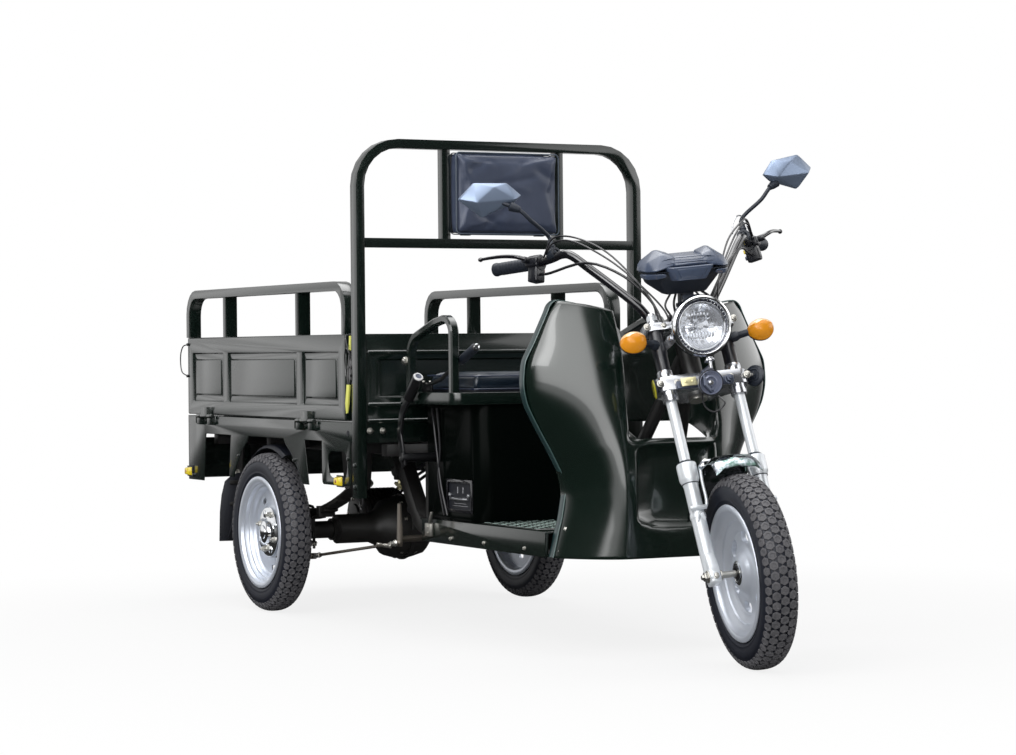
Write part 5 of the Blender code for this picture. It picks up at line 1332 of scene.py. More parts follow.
@dataclass
class Controls:
    """Handlebar, ribbed grips, switch blocks, levers, mirrors and cables.

    Attributes:
        inner: Inner end of the left grip in the steering frame.
        outer: Outer end of the left grip.
        mirror_foot: Foot of the left mirror's stem.
        mirror_centre: Middle of the left mirror's head.
    """

    inner: Point = (0.3, 0.15, 0.41)
    outer: Point = (0.363, 0.238, 0.443)
    mirror_foot: Point = (0.258, 0.0857, 0.4055)
    mirror_centre: Point = (0.406, 0.036, 0.55)

    def build(self) -> None:
        """Build both sides and the bar."""
        bar = points(
            0, 16, 150, 40, 11, 150, 70, 6, 162, 100, -3, 201, 140, 6, 255, 190, 26, 325, 226, 41, 374, 244, 61, 389,
            262, 92, 394, 290, 136, 405, 330, 192, 426, 355, 227, 439)
        path = [(-x, y, z) for x, y, z in reversed(bar[1:])] + bar
        tube = cord(path, 0.011, 20, steps=4)
        clamp = [
            box((-0.03, -0.004, 0.1245), (0.03, 0.036, 0.164), 0.004),
            *(hex_bolt((x, y, 0.163), UP, 0.012, 0.005) for x in (-0.021, 0.021) for y in (0.002, 0.03))]
        steered("handlebar_bar", [tube, *clamp], BAR, ["handlebar"])
        for side, name in SIDES:
            self.grip(side, name)
            self.mirror(side, name)
            softened(f"cable_{name}", CABLE, Body.STEERING, 0.0, 80.0)
        self.cables()

    def grip(self, side: int, name: str) -> None:
        """Build one grip with its switch block and lever.

        Args:
            side: -1 on the right, 1 on the left.
            name: The side's name.
        """
        a, b = (Vector((side * x, y, z)) for x, y, z in (self.inner, self.outer))
        d = (b - a).normalized()
        length = (b - a).length
        profile = pairs(0, 12, 0, 17.8, 4, 17.8, 5, 16)
        for k in range(9):
            s = 0.01 + k * (length - 0.02) / 9
            profile += [(s + u, v) for u, v in pairs(0, 16, 1.4, 16.8, 5.2, 16.8, 6.6, 16)]
        end = pairs(-2, 16.5, 4, 17.8, 9, 17.2, 11.8, 13.5, 12, 0, 0.8, 0, 0.8, 12)
        profile += [(length + u, v) for u, v in end]
        steered(f"grip_{name}_rubber", [disc(profile, a, d, 36)], GRIP, [f"grip_{name}"])
        ahead = d.to_track_quat("X", "Z").to_matrix().to_4x4()
        block = shift(a - d * 0.017) @ ahead @ Matrix.Diagonal((1.0, side, 1.0, 1.0))
        shell = turned(
            pairs(-17, 11.8, -17, 19, -14.5, 21.2, -0.6, 21.5, 0, 20.5, 0.6, 21.5, 17, 21.2, 19, 19, 19, 11.8), 32,
            ring=True)
        pod = [
            shell, box((-0.0155, -0.0175, -0.05), (0.0155, 0.0175, -0.006), 0.0045, 3),
            box((-0.0125, -0.0195, -0.044), (0.006, -0.0165, -0.02), 0.0015),
            box((-0.02, -0.024, -0.012), (0.02, -0.008, 0.012), 0.004, 3),
            rod((-0.012, -0.026, 0.0), (-0.012, -0.014, 0.0), 0.0075, 20, bevel=0.0015),
            rod((0.01, -0.04, 0.004), (0.01, -0.02, 0.004), 0.0085, 20, bevel=0.0015)]
        steered(f"switch_{name}_block", [placed(joined(pod), block)], PLASTIC)
        buttons = [
            (box((-0.011, 0.0165, -0.024), (-0.003, 0.0215, -0.014), 0.001), RED if side < 0 else YELLOW),
            (box((0.002, 0.0165, -0.024), (0.01, 0.0215, -0.014), 0.001), CREAM),
            (rod((-0.004, 0.016, -0.036), (-0.004, 0.0225, -0.036), 0.0055, 20, bevel=0.0012), SLATE)]
        for k, (shape, finish) in enumerate(buttons):
            steered(f"switch_{name}_button_{k}", [placed(shape, block)], finish)
        lever = points(8, -36, 6, 30, -49, 12, 70, -52, 17, 110, -54, 18, 142, -56, 17)
        blade = smooth_path(lever, 5)
        links = [rod(p, q, 0.0058 - 0.0022 * k / len(blade), 14) for k, (p, q) in enumerate(zip(blade, blade[1:]))]
        links += [disc(pairs(-7, 0, -5.5, 4.2, 0, 6.4, 5.5, 4.2, 7, 0), lever[-1], OUT, 20)]
        steered(f"lever_{name}", [placed(joined(links), block)], BAR)

    def mirror(self, side: int, name: str) -> None:
        """Build one mirror: rubber boot, stem, joint, faceted shell and glass.

        Args:
            side: -1 on the right, 1 on the left.
            name: The side's name.
        """
        foot, centre = (Vector((side * x, y, z)) for x, y, z in (self.mirror_foot, self.mirror_centre))
        painted_highlight = Vector((side * 0.343, 0.03, 0.512))
        stem = smooth_path([
            foot + Vector((0, 0, 0.004)), foot + Vector((side * 0.004, -0.006, 0.045)),
            foot.lerp(painted_highlight, 0.62) + Vector((0, -0.01, 0.01)), painted_highlight, centre], 6)
        boot = disc(
            pairs(0, 0, 0, 10.5, 4, 11.5, 8, 10, 12, 11, 16, 9, 20, 9.8, 24, 7.8, 36, 6.6, 44, 0),
            foot - Vector((0, 0, 0.002)), (side * 0.06, -0.12, 0.99), 28)
        joint = disc(pairs(-20, 0, -18, 7.5, -6, 10.5, 8, 12, 16, 0), painted_highlight + (centre - painted_highlight) * 0.15, centre - painted_highlight, 28)
        collar = disc(
            pairs(-4, 10.8, -4, 16.5, 0, 17.5, 14, 17.5, 18, 16.5, 18, 10.8),
            foot - Vector((side * 0.004, 0.0065, 0.004)), (side * 0.42, 0.86, 0.09), 32, ring=True)
        steered(
            f"mirror_{name}_stem", [tube_mesh(stem, 0.0052, 16), boot, joint, collar], GRIP,
            [f"mirror_{name}"])
        yaw, roll = (26, -14) if side > 0 else (8, -2)
        turn = STEER @ shift(centre) @ turned_by(yaw, "Z") @ turned_by(24, "X") @ turned_by(roll, "Y")
        rim = pairs(85, 3, 40, 42, -52, 37, -90, 4, -66, -16, 24, -46)
        ridge = points(46, -8, -24, -62, -6, -22, -8, 29, -14)
        corners = [(side * u, 0.013, v) for u, v in rim] + [(side * u * 0.97, 0.002, v) for u, v in rim]
        corners += [(side * u, y, v) for u, v, y in ridge]
        steered(f"mirror_{name}_shell", [hull(corners, 0.0028)], MIRROR_SHELL, smooth=50.0, at=turn)
        lip = hull([(side * u * 0.96, y, v * 0.96) for u, v in rim for y in (0.01, 0.0145)], 0.0012, 2)
        glass = hull([(side * u * 0.9, y, v * 0.88) for u, v in rim for y in (0.013, 0.0152)], 0.0006, 1)
        steered(f"mirror_{name}_lip", [lip], GRIP, at=turn)
        steered(f"mirror_{name}_glass", [glass], MIRROR, at=turn)

    def cables(self) -> None:
        """Build the thin throttle and brake cables beside the thick ones, with their end sleeves."""
        runs = []
        for side in (-1, 1):
            for k in range(2):
                runs.append(cord([
                    (side * 0.282, 0.098 - 0.01 * k, 0.402), (side * 0.262, 0.048, 0.418 + 0.012 * k),
                    (side * 0.222, 0.006 - 0.012 * k, 0.396 + 0.006 * k), (side * 0.16, -0.04, 0.318 + 0.02 * k),
                    (side * 0.105, -0.066, 0.232), (side * (0.06 + 0.018 * k), -0.076, 0.15),
                    (side * (0.052 + 0.016 * k), -0.062, 0.1)], 0.0024, 8))
        steered("thin_cables", runs, CABLE)
        loop = cord(points(284, 94, 408, 262, 60, 438, 232, 26, 436, 206, 8, 408, 196, 4, 376), 0.0018, 8, steps=8)
        sleeve = [rod((0.2835, 0.094, 0.4075), (0.27, 0.072, 0.4285), 0.004, 12, bevel=0.0008)]
        steered("cable_inner_wire", [loop, *sleeve], FORK_CHROME)


@dataclass
class Fork:
    """Fork legs, clamps, axle ends, reflectors and the chrome front mudguard.

    Attributes:
        spacing: Distance of each leg from the middle plane.
        station: Station of the legs in the steering frame.
        axle: Station and height of the front axle in the steering frame.
    """

    spacing: float = 0.0888
    station: float = -0.05
    axle: Pair = (-0.063, -0.53707)

    def build(self) -> None:
        """Build the fork."""
        for side, name in SIDES:
            self.leg(side, name)
        softened("fork_lower_clamp", FORK_CHROME, Body.STEERING, 0.004)
        softened("fork_upper_clamp", FORK_CHROME, Body.STEERING, 0.004)
        self.clamp_parts()
        self.reflectors()
        self.mudguard()

    def leg(self, side: int, name: str) -> None:
        """Build one leg with its seal, cup, lug and axle end.

        Args:
            side: -1 on the right, 1 on the left.
            name: The side's name.
        """
        x, (y0, z0) = side * self.spacing, self.axle
        leg = (x, self.station, 0.0), UP
        tube = disc(pairs(-262, 0, -262, 13.4, 146, 13.4, 149, 12, 149.5, 0), *leg, 40)
        cup = disc(pairs(
            -540, 0, -540, 13, -534, 17.5, -400, 18, -305, 18.2, -296, 20.5, -288, 24.3, -284, 25, -250, 25, -245.5,
            23.8, -245, 15, -250, 0), *leg, 40)
        corners = points(13.5, -17, -20, 13.5, 24, -20, 13.5, -17, 18, 13, 28, 60, 13, -4, 60)
        lug = hull([(x + way * u, y0 + v, z0 + w) for u, v, w in corners for way in (-1, 1)], 0.005)
        boss = rod((x - side * 0.01, y0, z0), (x + side * 0.0145, y0, z0), 0.0195, 32, bevel=0.003)
        band = disc(pairs(-386, 17.8, -386, 19.6, -380.5, 20, -375, 19.6, -375, 17.8), *leg, 40, ring=True)
        ear = hull(points(6, -66, -375, 6, -78, -378, 10, -66, -402, 10, -76, -398, -2, -66, -388), 0.002)
        ear = placed(paired(ear), shift((x, 0, 0)))
        steered(f"fork_leg_{name}_castings", [tube, cup, lug, boss, band, ear], ALLOY, [f"fork_leg_{name}"])
        seal = disc(
            pairs(-245.6, 13.6, -245.6, 20.5, -242.5, 20, -240, 16.5, -238, 15, -238, 13.6), *leg, 36, ring=True)
        gap = disc(pairs(-298.5, 18.8, -298.5, 21.2, -296.5, 21.4, -296.5, 18.8), *leg, 36, ring=True)
        steered(f"fork_seal_{name}", [seal, gap], GRIP)
        ends = [
            rod((x + side * 0.014, y0, z0), (x + side * 0.017, y0, z0), 0.015, 28, bevel=0.0006),
            rod((side * 0.033, y0, z0), (x - side * 0.013, y0, z0), 0.0082, 20),
            rod((x - side * 0.015, y0, z0), (x - side * 0.02, y0, z0), 0.0125, 24, bevel=0.001),
            hex_bolt((x + side * 0.017, y0, z0), (side, 0, 0), 0.024, 0.0085, washer=False, stud=0.006),
            hex_bolt((x, y0 - 0.0168, z0 - 0.004), (0, -1, 0), 0.013, 0.006)]
        steered(f"front_axle_end_{name}", ends, ZINC)
        caps = [disc(pairs(124, 0, 124, 16.5, 128.5, 17.5, 133, 16.5, 133.5, 13.6, 133.5, 0), *leg, 32),
            rod((x, self.station, 0.149), (x, self.station, 0.1555), 0.0095, 6, bevel=0.0012),
            disc(
                pairs(-20, 13.7, -20, 19.2, -17, 20, -2, 20, 1, 19, 1, 13.7), (x, self.station, -0.002), UP, 36,
                ring=True),
            disc(pairs(-56, 13.7, -56, 20.5, -60, 20.5, -79, 20, -82, 18.5, -82, 13.7), *leg, 36, ring=True)]
        steered(f"fork_collars_{name}", caps, FORK_CHROME)

    def clamp_parts(self) -> None:
        """Build the pinch bolts of both clamps and the stem nut."""
        bolts = []
        for side in (-1, 1):
            for z in (-0.038, 0.114):
                bolts.append(hex_bolt((side * 0.113, -0.0715, z), (0, -1, 0), 0.015, 0.0065, stud=0.003))
                bolts.append(hex_bolt((side * 0.07, -0.0715, z), (0, -1, 0), 0.012, 0.005))
        bolts.append(hex_bolt((0, 0.0, 0.124), UP, 0.03, 0.01, stud=0.004))
        bolts.append(disc(pairs(0, 0, 0, 23, 5, 24, 10, 22.5, 10, 0), (0, 0, -0.066), UP, 36))
        steered("fork_clamp_bolts", bolts, ZINC)

    def reflectors(self) -> None:
        """Build the yellow oval reflector on the right leg and the round one on the left leg."""
        face = disc(pairs(0, 0, 0, 19, 3, 19.6, 5, 18, 6.2, 0), (0, 0, 0), OUT, 40)
        oval = shift((-0.1235, -0.058, -0.046)) @ turned_by(168, "Z") @ Matrix.Diagonal((1.0, 1.0, 1.25, 1.0))
        steered("reflector_right_lens", [placed(face, oval)], OLIVE)
        holder = disc(pairs(-3, 0, -3, 18.5, 1.2, 20.6, 1.2, 0), (0, 0, 0), OUT, 40)
        arm = rod((-0.108, -0.054, -0.046), (-0.124, -0.058, -0.046), 0.005, 14)
        left = shift((0.137, -0.054, -0.036)) @ turned_by(38, "Z")
        cup = disc(
            pairs(-8, 0, -8, 8, -4, 10, -3, 22.5, 0, 26.2, 6, 26.8, 6.2, 24.5, 2, 23.8, 2, 0), (0, 0, 0), OUT, 48)
        rib = disc(pairs(-4, 13.5, -5.2, 14.5, -5.2, 16.5, -4, 17.5), (0, 0, 0), OUT, 40, ring=True)
        stud = rod((0.108, -0.06, -0.038), (0.133, -0.057, -0.036), 0.0048, 14)
        black = [
            placed(placed(holder, oval), STEER), placed(arm, STEER), placed(placed(joined([cup, rib]), left), STEER),
            placed(stud, STEER)]
        piece("reflector_holders", joined(black), GRIP, Body.STEERING)
        lens = disc(pairs(1.8, 0, 1.8, 23.6, 6.2, 23.2, 7.4, 0), (0, 0, 0), OUT, 40)
        # The amber finish glows; on this reflector, which is no lamp, the glow is painted light.
        steered("reflector_left_lens", [placed(lens, left)], AMBER)
        tip = placed(hex_bolt((-0.008, 0, 0), (-1, 0, 0), 0.009, 0.004, washer=False), left)
        steered("reflector_bolt", [tip], ZINC)

    def mudguard(self) -> None:
        """Build the chrome mudguard with its rolled edge, crown bracket and bolts."""
        # The mudguard's finish carries painted green and pale reflections in its colour.
        softened("front_mudguard", PAINTED_REFLECTION_CHROME, Body.STEERING, 0.001, 50.0)
        crown = -0.537 + 0.287
        parts = [box((-0.056, -0.076, crown - 0.002), (0.056, -0.036, crown + 0.0035), 0.0025),
            paired(hull([(x, y, crown + z) for x, y, z in points(
                50, -72, -12, 50, -40, -12, 62, -66, -12, 62, -44, -12, 50, -72, 2, 50, -40, 2, 62, -62, -4, 62, -48,
                -4)], 0.002))]
        steered("mudguard_bracket", parts, FORK_CHROME)
        stay = smooth_path(
            points(60, -62, -268, 63, -64, -300, 63.5, -66, -340, 67, -64, -360, 76, -58, -364, 88.8, -52, -364), 6)
        rods = paired(joined(
            [
                tube_mesh(stay, 0.0038, 12),
                rod((0.069, -0.07, -0.364), (0.111, -0.07, -0.364), 0.0058, 20, bevel=0.0015)]))
        steered("mudguard_stays", [rods], ALLOY)
        bolts = [hex_bolt((x, -0.056, crown + 0.0035), UP, 0.013, 0.005, stud=0.002) for x in (-0.04, 0.0, 0.04)]
        steered("mudguard_bolts", bolts, ZINC)


def settled(name: str, bm: Mesh, pressure: float, reach: float, pinned: float) -> Mesh:
    """Swell a closed form with the cloth solver and give back the result.

    Args:
        name: Name of the passing object.
        bm: The form, a little smaller than the finished pad, which is freed.
        pressure: Inner pressure.
        reach: Furthest that a point may move.
        pinned: Share of the height, from the bottom, that rests on the base and stays.

    Returns:
        The swollen form.
    """
    mesh = to_mesh(name, bm)
    obj = linked(name, mesh)
    remesh = obj.modifiers.new("Remesh", "REMESH")
    remesh.mode = "VOXEL"
    remesh.voxel_size = 0.0065
    graph = bpy.context.evaluated_depsgraph_get()
    fine = bpy.data.meshes.new_from_object(obj.evaluated_get(graph))
    obj.modifiers.clear()
    obj.data = fine
    bpy.data.meshes.remove(mesh)
    heights = [v.co.z for v in fine.vertices]
    low, high = min(heights), max(heights)
    resting = [index for index, height in enumerate(heights) if (height - low) / (high - low) < pinned]
    obj.vertex_groups.new(name="rest").add(resting, 1.0, "REPLACE")
    cloth = obj.modifiers.new("Cloth", "CLOTH")
    for key, value in {
            "use_pressure": True, "uniform_pressure_force": pressure, "vertex_group_mass": "rest",
            "tension_stiffness": 12.0, "compression_stiffness": 12.0, "bending_stiffness": 0.4, "quality": 5}.items(
                ):
        setattr(cloth.settings, key, value)
    cloth.settings.effector_weights.gravity = 0.0
    cloth.point_cache.frame_start, cloth.point_cache.frame_end = 1, 20
    for step in range(1, 21):
        bpy.context.scene.frame_set(step)
    graph = bpy.context.evaluated_depsgraph_get()
    moved = bpy.data.meshes.new_from_object(obj.evaluated_get(graph))
    obj.modifiers.clear()
    for vert, new in zip(fine.vertices, moved.vertices):
        move = new.co - vert.co
        if move.length > reach:
            move = move.normalized() * reach
        vert.co += move
    bpy.data.meshes.remove(moved)
    bpy.context.scene.frame_set(1)
    result = bmesh.new()
    result.from_mesh(fine)
    bpy.data.objects.remove(obj)
    bpy.data.meshes.remove(fine)
    return result


def creased(bm: Mesh, axis: Vector, creases: Iterable[tuple[Sequence[float], Sequence[float], float, float]]) -> Mesh:
    """Press creases into a soft form: each runs between two points with a width and a depth.

    Args:
        bm: The form.
        axis: Direction that the crease is pressed in.
        creases: Start, end, width and depth of each.

    Returns:
        The same mesh.
    """
    for start, end, width, depth in creases:
        a, b = Vector(start), Vector(end)
        along = b - a
        for vert in bm.verts:
            t = max(0.0, min(1.0, (vert.co - a).dot(along) / along.length_squared))
            away = vert.co - (a + along * t)
            away -= axis * away.dot(axis)
            share = math.exp(-(away.length / width) ** 2) * math.sin(math.pi * min(0.5, 0.12 + t * (1 - t) * 2.2))
            if abs((vert.co - a).dot(axis)) < 0.03:
                vert.co += axis * depth * share
    return bm


@dataclass
class Seat:
    """Driver's cushion and the back pad in the hoop.

    Attributes:
        cushion: Lowest and highest corner of the cushion's place.
        pad: Lowest and highest corner of the back pad's place.
    """

    cushion: tuple[Vector, Vector] = field(default_factory=lambda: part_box("seat_cushion"))
    pad: tuple[Vector, Vector] = field(default_factory=lambda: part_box("back_pad"))

    def build(self) -> None:
        """Build both soft pieces."""
        self.make_cushion()
        self.make_pad()

    def make_cushion(self) -> None:
        """Build the cushion: a crowned form, swollen, creased at its front, with piping and a base."""
        low, high = self.cushion
        form = box(
            (low.x + 0.007, low.y + 0.007, low.z + 0.0065), (high.x - 0.007, high.y - 0.007, high.z - 0.008), 0.013, 3)
        soft = settled("cushion", form, 4.0, 0.007, 0.1)
        front = low.y
        soft = creased(soft, Vector((0, 1, 0)), [
            ((-0.1, front, 0.684), (0.02, front, 0.675), 0.004, 0.0035),
            ((-0.02, front, 0.695), (0.12, front, 0.688), 0.005, 0.003),
            ((-0.18, front, 0.672), (-0.09, front, 0.69), 0.005, 0.0025),
            ((0.08, front, 0.672), (0.2, front, 0.682), 0.005, 0.003)])
        soft = creased(soft, Vector((0, 0, -1)), [
            ((-0.24, front + 0.05, high.z), (-0.14, front + 0.13, high.z), 0.008, 0.0018),
            ((0.24, front + 0.05, high.z), (0.15, front + 0.12, high.z), 0.008, 0.0018),
            ((-0.05, front + 0.02, high.z), (0.06, front + 0.05, high.z), 0.007, 0.0015)])
        obj = piece("seat_cushion_cover", soft, VINYL, Body.SEAT_LID, ["seat_cushion"], subdivide=1)
        seams = []
        for z, out, radius in ((high.z - 0.0115, 0.0012, 0.0022), (low.z + 0.0085, 0.0005, 0.0018)):
            seams.append(self.loop(low, high, z, out, radius, 0.02))
        piece("seat_cushion_piping", joined(seams), PIPING, Body.SEAT_LID)
        base = box((low.x + 0.006, low.y + 0.006, low.z), (high.x - 0.006, high.y - 0.006, low.z + 0.008), 0.002)
        hinges = [rod(
            (x - 0.022, high.y - 0.001, low.z + 0.005), (x + 0.022, high.y - 0.001, low.z + 0.005), 0.0045, 16,
            bevel=0.0006) for x in (-0.16, 0.16)]
        piece("seat_cushion_base", joined([base, *hinges]), GUARD, Body.SEAT_LID)

    @staticmethod
    def loop(low: Vector, high: Vector, z: float, out: float, radius: float, corner: float) -> Mesh:
        """Give a round cord laid round a box at one height, with rounded corners."""
        x0, x1, y0, y1 = low.x - out + 0.003, high.x + out - 0.003, low.y - out + 0.003, high.y + out - 0.003
        path = []
        for cx, cy, start in (
                (x1 - corner, y1 - corner, 0), (x0 + corner, y1 - corner, 90), (x0 + corner, y0 + corner, 180),
                (x1 - corner, y0 + corner, 270)):
            for k in range(7):
                turn = math.radians(start + 15 * k)
                path.append(Vector((cx + corner * math.cos(turn), cy + corner * math.sin(turn), z)))
        path.append(path[0] + (path[1] - path[0]) * 0.02)
        return tube_mesh(path, radius, 8)

    def make_pad(self) -> None:
        """Build the back pad: a slightly slack sheet-covered board with a pale edge and small buckles in its cover."""
        low, high = self.pad
        form = box(
            (low.x + 0.006, low.y + 0.01, low.z + 0.006), (high.x - 0.006, high.y - 0.004, high.z - 0.006), 0.009, 3)
        lift = turned_by(-90, "X")
        soft = placed(settled("pad", placed(form, lift), 3.0, 0.006, 0.12), lift.inverted())
        front = low.y + 0.004
        width, height = high.x - low.x, high.z - low.z
        rng = random.Random(11)
        ridges = []
        for k in range(9):
            u, v = rng.uniform(0.06, 0.8), rng.uniform(0.06, 0.92)
            turn = rng.uniform(-0.5, 0.9)
            length = rng.uniform(0.05, 0.13)
            start = (low.x + u * width, front, low.z + v * height)
            end = (
                min(high.x - 0.02, start[0] + length * math.cos(turn)), front,
                max(low.z + 0.015, min(high.z - 0.015, start[2] + length * math.sin(turn))))
            ridges.append((start, end, rng.uniform(0.006, 0.012), rng.uniform(0.0022, 0.0042) * (1 if k % 3 else -0.5)))
        soft = creased(soft, Vector((0, 1, 0)), ridges)
        obj = piece("back_pad_cover", soft, PAD_CLOTH, Body.CHASSIS, ["back_pad"], subdivide=1)
        swap = turned_by(90, "X")
        flat_low = Vector((low.x, low.z, 0.0))
        flat_high = Vector((high.x, high.z, 0.0))
        edges = [
            placed(self.loop(flat_low, flat_high, -station, -0.0015, radius, 0.012), swap) for station,
            radius in ((low.y + 0.014, 0.002), (high.y - 0.005, 0.0016))]
        piece("back_pad_piping", joined(edges), PAD_EDGE, Body.CHASSIS)
        board = box((low.x + 0.008, high.y - 0.006, low.z + 0.008), (high.x - 0.008, high.y, high.z - 0.008), 0.001)
        tabs = [box((x - 0.014, high.y - 0.014, z - 0.004), (x + 0.014, high.y - 0.001, z + 0.004), 0.001)
            for x in (low.x + 0.05, high.x - 0.05) for z in (low.z + 0.005, high.z - 0.005)]
        piece("back_pad_board", joined([board, *tabs]), GUARD, Body.CHASSIS)


@dataclass
class SeatFittings:
    """Latch, levers and armrest fasteners round the seat box."""

    def build(self) -> None:
        """Build them."""
        wall = -0.265
        window = box((wall - 0.01, -1.014, 0.341), (wall + 0.01, -0.874, 0.413), 0.004)
        ring = carved(box((wall - 0.0016, -1.023, 0.332), (wall + 0.001, -0.865, 0.422), 0.0012), [window])
        back = box((wall + 0.004, -1.018, 0.337), (wall + 0.0064, -0.87, 0.417), 0.0005, 1)
        fixed("latch_recess", [back], GUARD)
        fixed("latch_frame", [ring], BAR)
        handle = [
            rod((wall - 0.0004, -0.996, 0.369), (wall - 0.0004, -0.892, 0.369), 0.0045, 20, bevel=0.001),
            *(rod((wall + 0.004, y, 0.379), (wall - 0.003, y, 0.379), 0.0055, 20, 0.001) for y in (-1.0, -0.888)),
            box((wall + 0.002, -0.988, 0.349), (wall + 0.0046, -0.9, 0.351), 0.0006, 1),
            box((wall + 0.002, -0.98, 0.356), (wall + 0.0046, -0.908, 0.3575), 0.0004, 1),
            *(box((wall + 0.003, y, 0.384), (wall + 0.005, y + 0.004, 0.402), 0.0006, 1) for y in (-0.962, -0.93))]
        fixed("latch_handle", handle, FORK_CHROME)
        softened("parking_brake", STEEL, Body.CHASSIS, 0.0008, 45.0)
        up = Vector((0, -0.731, 0.682))
        tip = Vector((-0.36, -0.893, 0.698))
        cap = disc(pairs(0, 0, 0, 13.5, 2.2, 14, 4, 12.5, 4.6, 0), tip, up, 40)
        dark = disc(pairs(4.4, 0, 4.4, 8.5, 5.2, 8, 5.2, 6, 4.6, 5.5, 4.6, 0), tip, up, 32)
        fixed("parking_lever_cap", [cap], CREAM)
        fixed("parking_lever_mark", [dark], SLATE)
        softened("hand_brake", STEEL, Body.CHASSIS, 0.0006, 45.0)
        inner = -0.2955
        knob = [disc(pairs(0, 0, 0, 7.5, 10, 7, 11.5, 0), (inner, -1.112, 0.777), (0, -0.928, 0.373), 28)]
        fixed("hand_brake_button", knob, CHROME)
        grip = disc(
            pairs(0, 10.5, 2, 12, 80, 12, 83.5, 12.5, 86, 10.8, 86, 0) + [(0.0, 0.0)], (inner, -1.03, 0.744),
            (0, -0.928, 0.373), 28)
        fixed("hand_brake_grip", [grip], GRIP)
        bolts = [hex_bolt((side * 0.3155, y, 0.69), (-side, 0, 0), 0.012, 0.0045) for side in (-1, 1)
            for y in (-1.035, -0.77)]
        bolts.append(hex_bolt((-0.333, -0.761, 0.742), (-1, 0, 0), 0.02, 0.007, stud=0.003))
        bolts += [hex_bolt((x, -0.8, 0.6835), UP, 0.009, 0.0035, washer=False) for x in (-0.3, -0.28)]
        fixed("seat_bolts", bolts, ZINC)


@dataclass
class Shield:
    """Finer copy of the leg shield's sheet with its edge band, the painted highlight along the band and its fasteners.

    Attributes:
        outline: Right half of the rim as (x, z) pairs, from the foot to the column.
    """

    outline: list[Pair] = field(default_factory=lambda: pairs(
        275.5, 247, 267.1, 280, 258.8, 314, 249.5, 346, 240, 400, 234.5, 423, 236, 436, 254.5, 469, 279.5, 515, 289.6,
        532, 299, 548, 320.4, 585, 334.5, 611, 345.1, 634, 352.2, 662, 354.6, 686, 353.2, 712, 349.2, 738.5, 337.2, 763,
        323.3, 787.6, 302, 830.6, 286.8, 861.3, 277.5, 881, 262, 892.2, 240, 890.5, 191, 882, 126, 867, 114, 857, 106,
        847))

    def build(self) -> None:
        """Build the sheet and what is fixed to it."""
        bm = bmesh.new()
        bm.from_mesh(frame["nodes"]["front_shield"].data)
        bmesh.ops.remove_doubles(bm, verts=bm.verts, dist=1e-5)
        bmesh.ops.join_triangles(bm, faces=bm.faces, angle_face_threshold=0.9, angle_shape_threshold=2.6)
        crease = bm.edges.layers.float.new("crease_edge")
        for edge in bm.edges:
            if len(edge.link_faces) == 2 and edge.calc_face_angle(0.0) > math.radians(62):
                edge[crease] = 0.85
        piece("front_shield_sheet", bm, SHIELD_PAINT, Body.CHASSIS, ["front_shield"], subdivide=2)
        self.edges()
        self.fasteners()

    def edges(self) -> None:
        """Build the teal band on the folded edge and a pale line along the band's front corner, which is a painted
        highlight.
        """
        bands, highlight_lines = [], []
        for side in (-1, 1):
            path = smooth_path([(side * (x + 0.001), 0.0, z) for x, z in self.outline], 3)
            band = tube_mesh(path, 0.0017, 12)
            bmesh.ops.scale(band, vec=(1.0, 6.6, 1.0), verts=band.verts)
            bands.append(placed(band, shift((0, -1.485, 0))))
            # The pale line on the band's front corner is a painted highlight.
            highlight_lines.append(placed(tube_mesh(path, 0.0015, 8), shift((0, -1.4985, 0))))
        fixed("shield_edge_band", bands, TRIM)
        fixed("shield_edge_painted_highlight", highlight_lines, EDGE_HIGHLIGHT)

    @staticmethod
    def fasteners() -> None:
        """Build the screws of the shield and the plugs beside its niche."""
        parts, caps = [], []
        for side in (-1, 1):
            parts.append(hex_bolt((side * 0.246, -1.515, 0.318), (side * 0.45, -0.9, 0), 0.013, 0.004))
            parts.append(hex_bolt((side * 0.262, -1.506, 0.262), (side * 0.5, -0.87, 0), 0.01, 0.0035))
            caps.append(disc(pairs(0, 0, 0, 8.5, 2, 8, 3, 5, 3.2, 0), (side * 0.06, -1.6405, 0.29), (0, -1, 0), 24))
        fixed("shield_screws", parts, ZINC)
        fixed("shield_plugs", caps, GUARD)


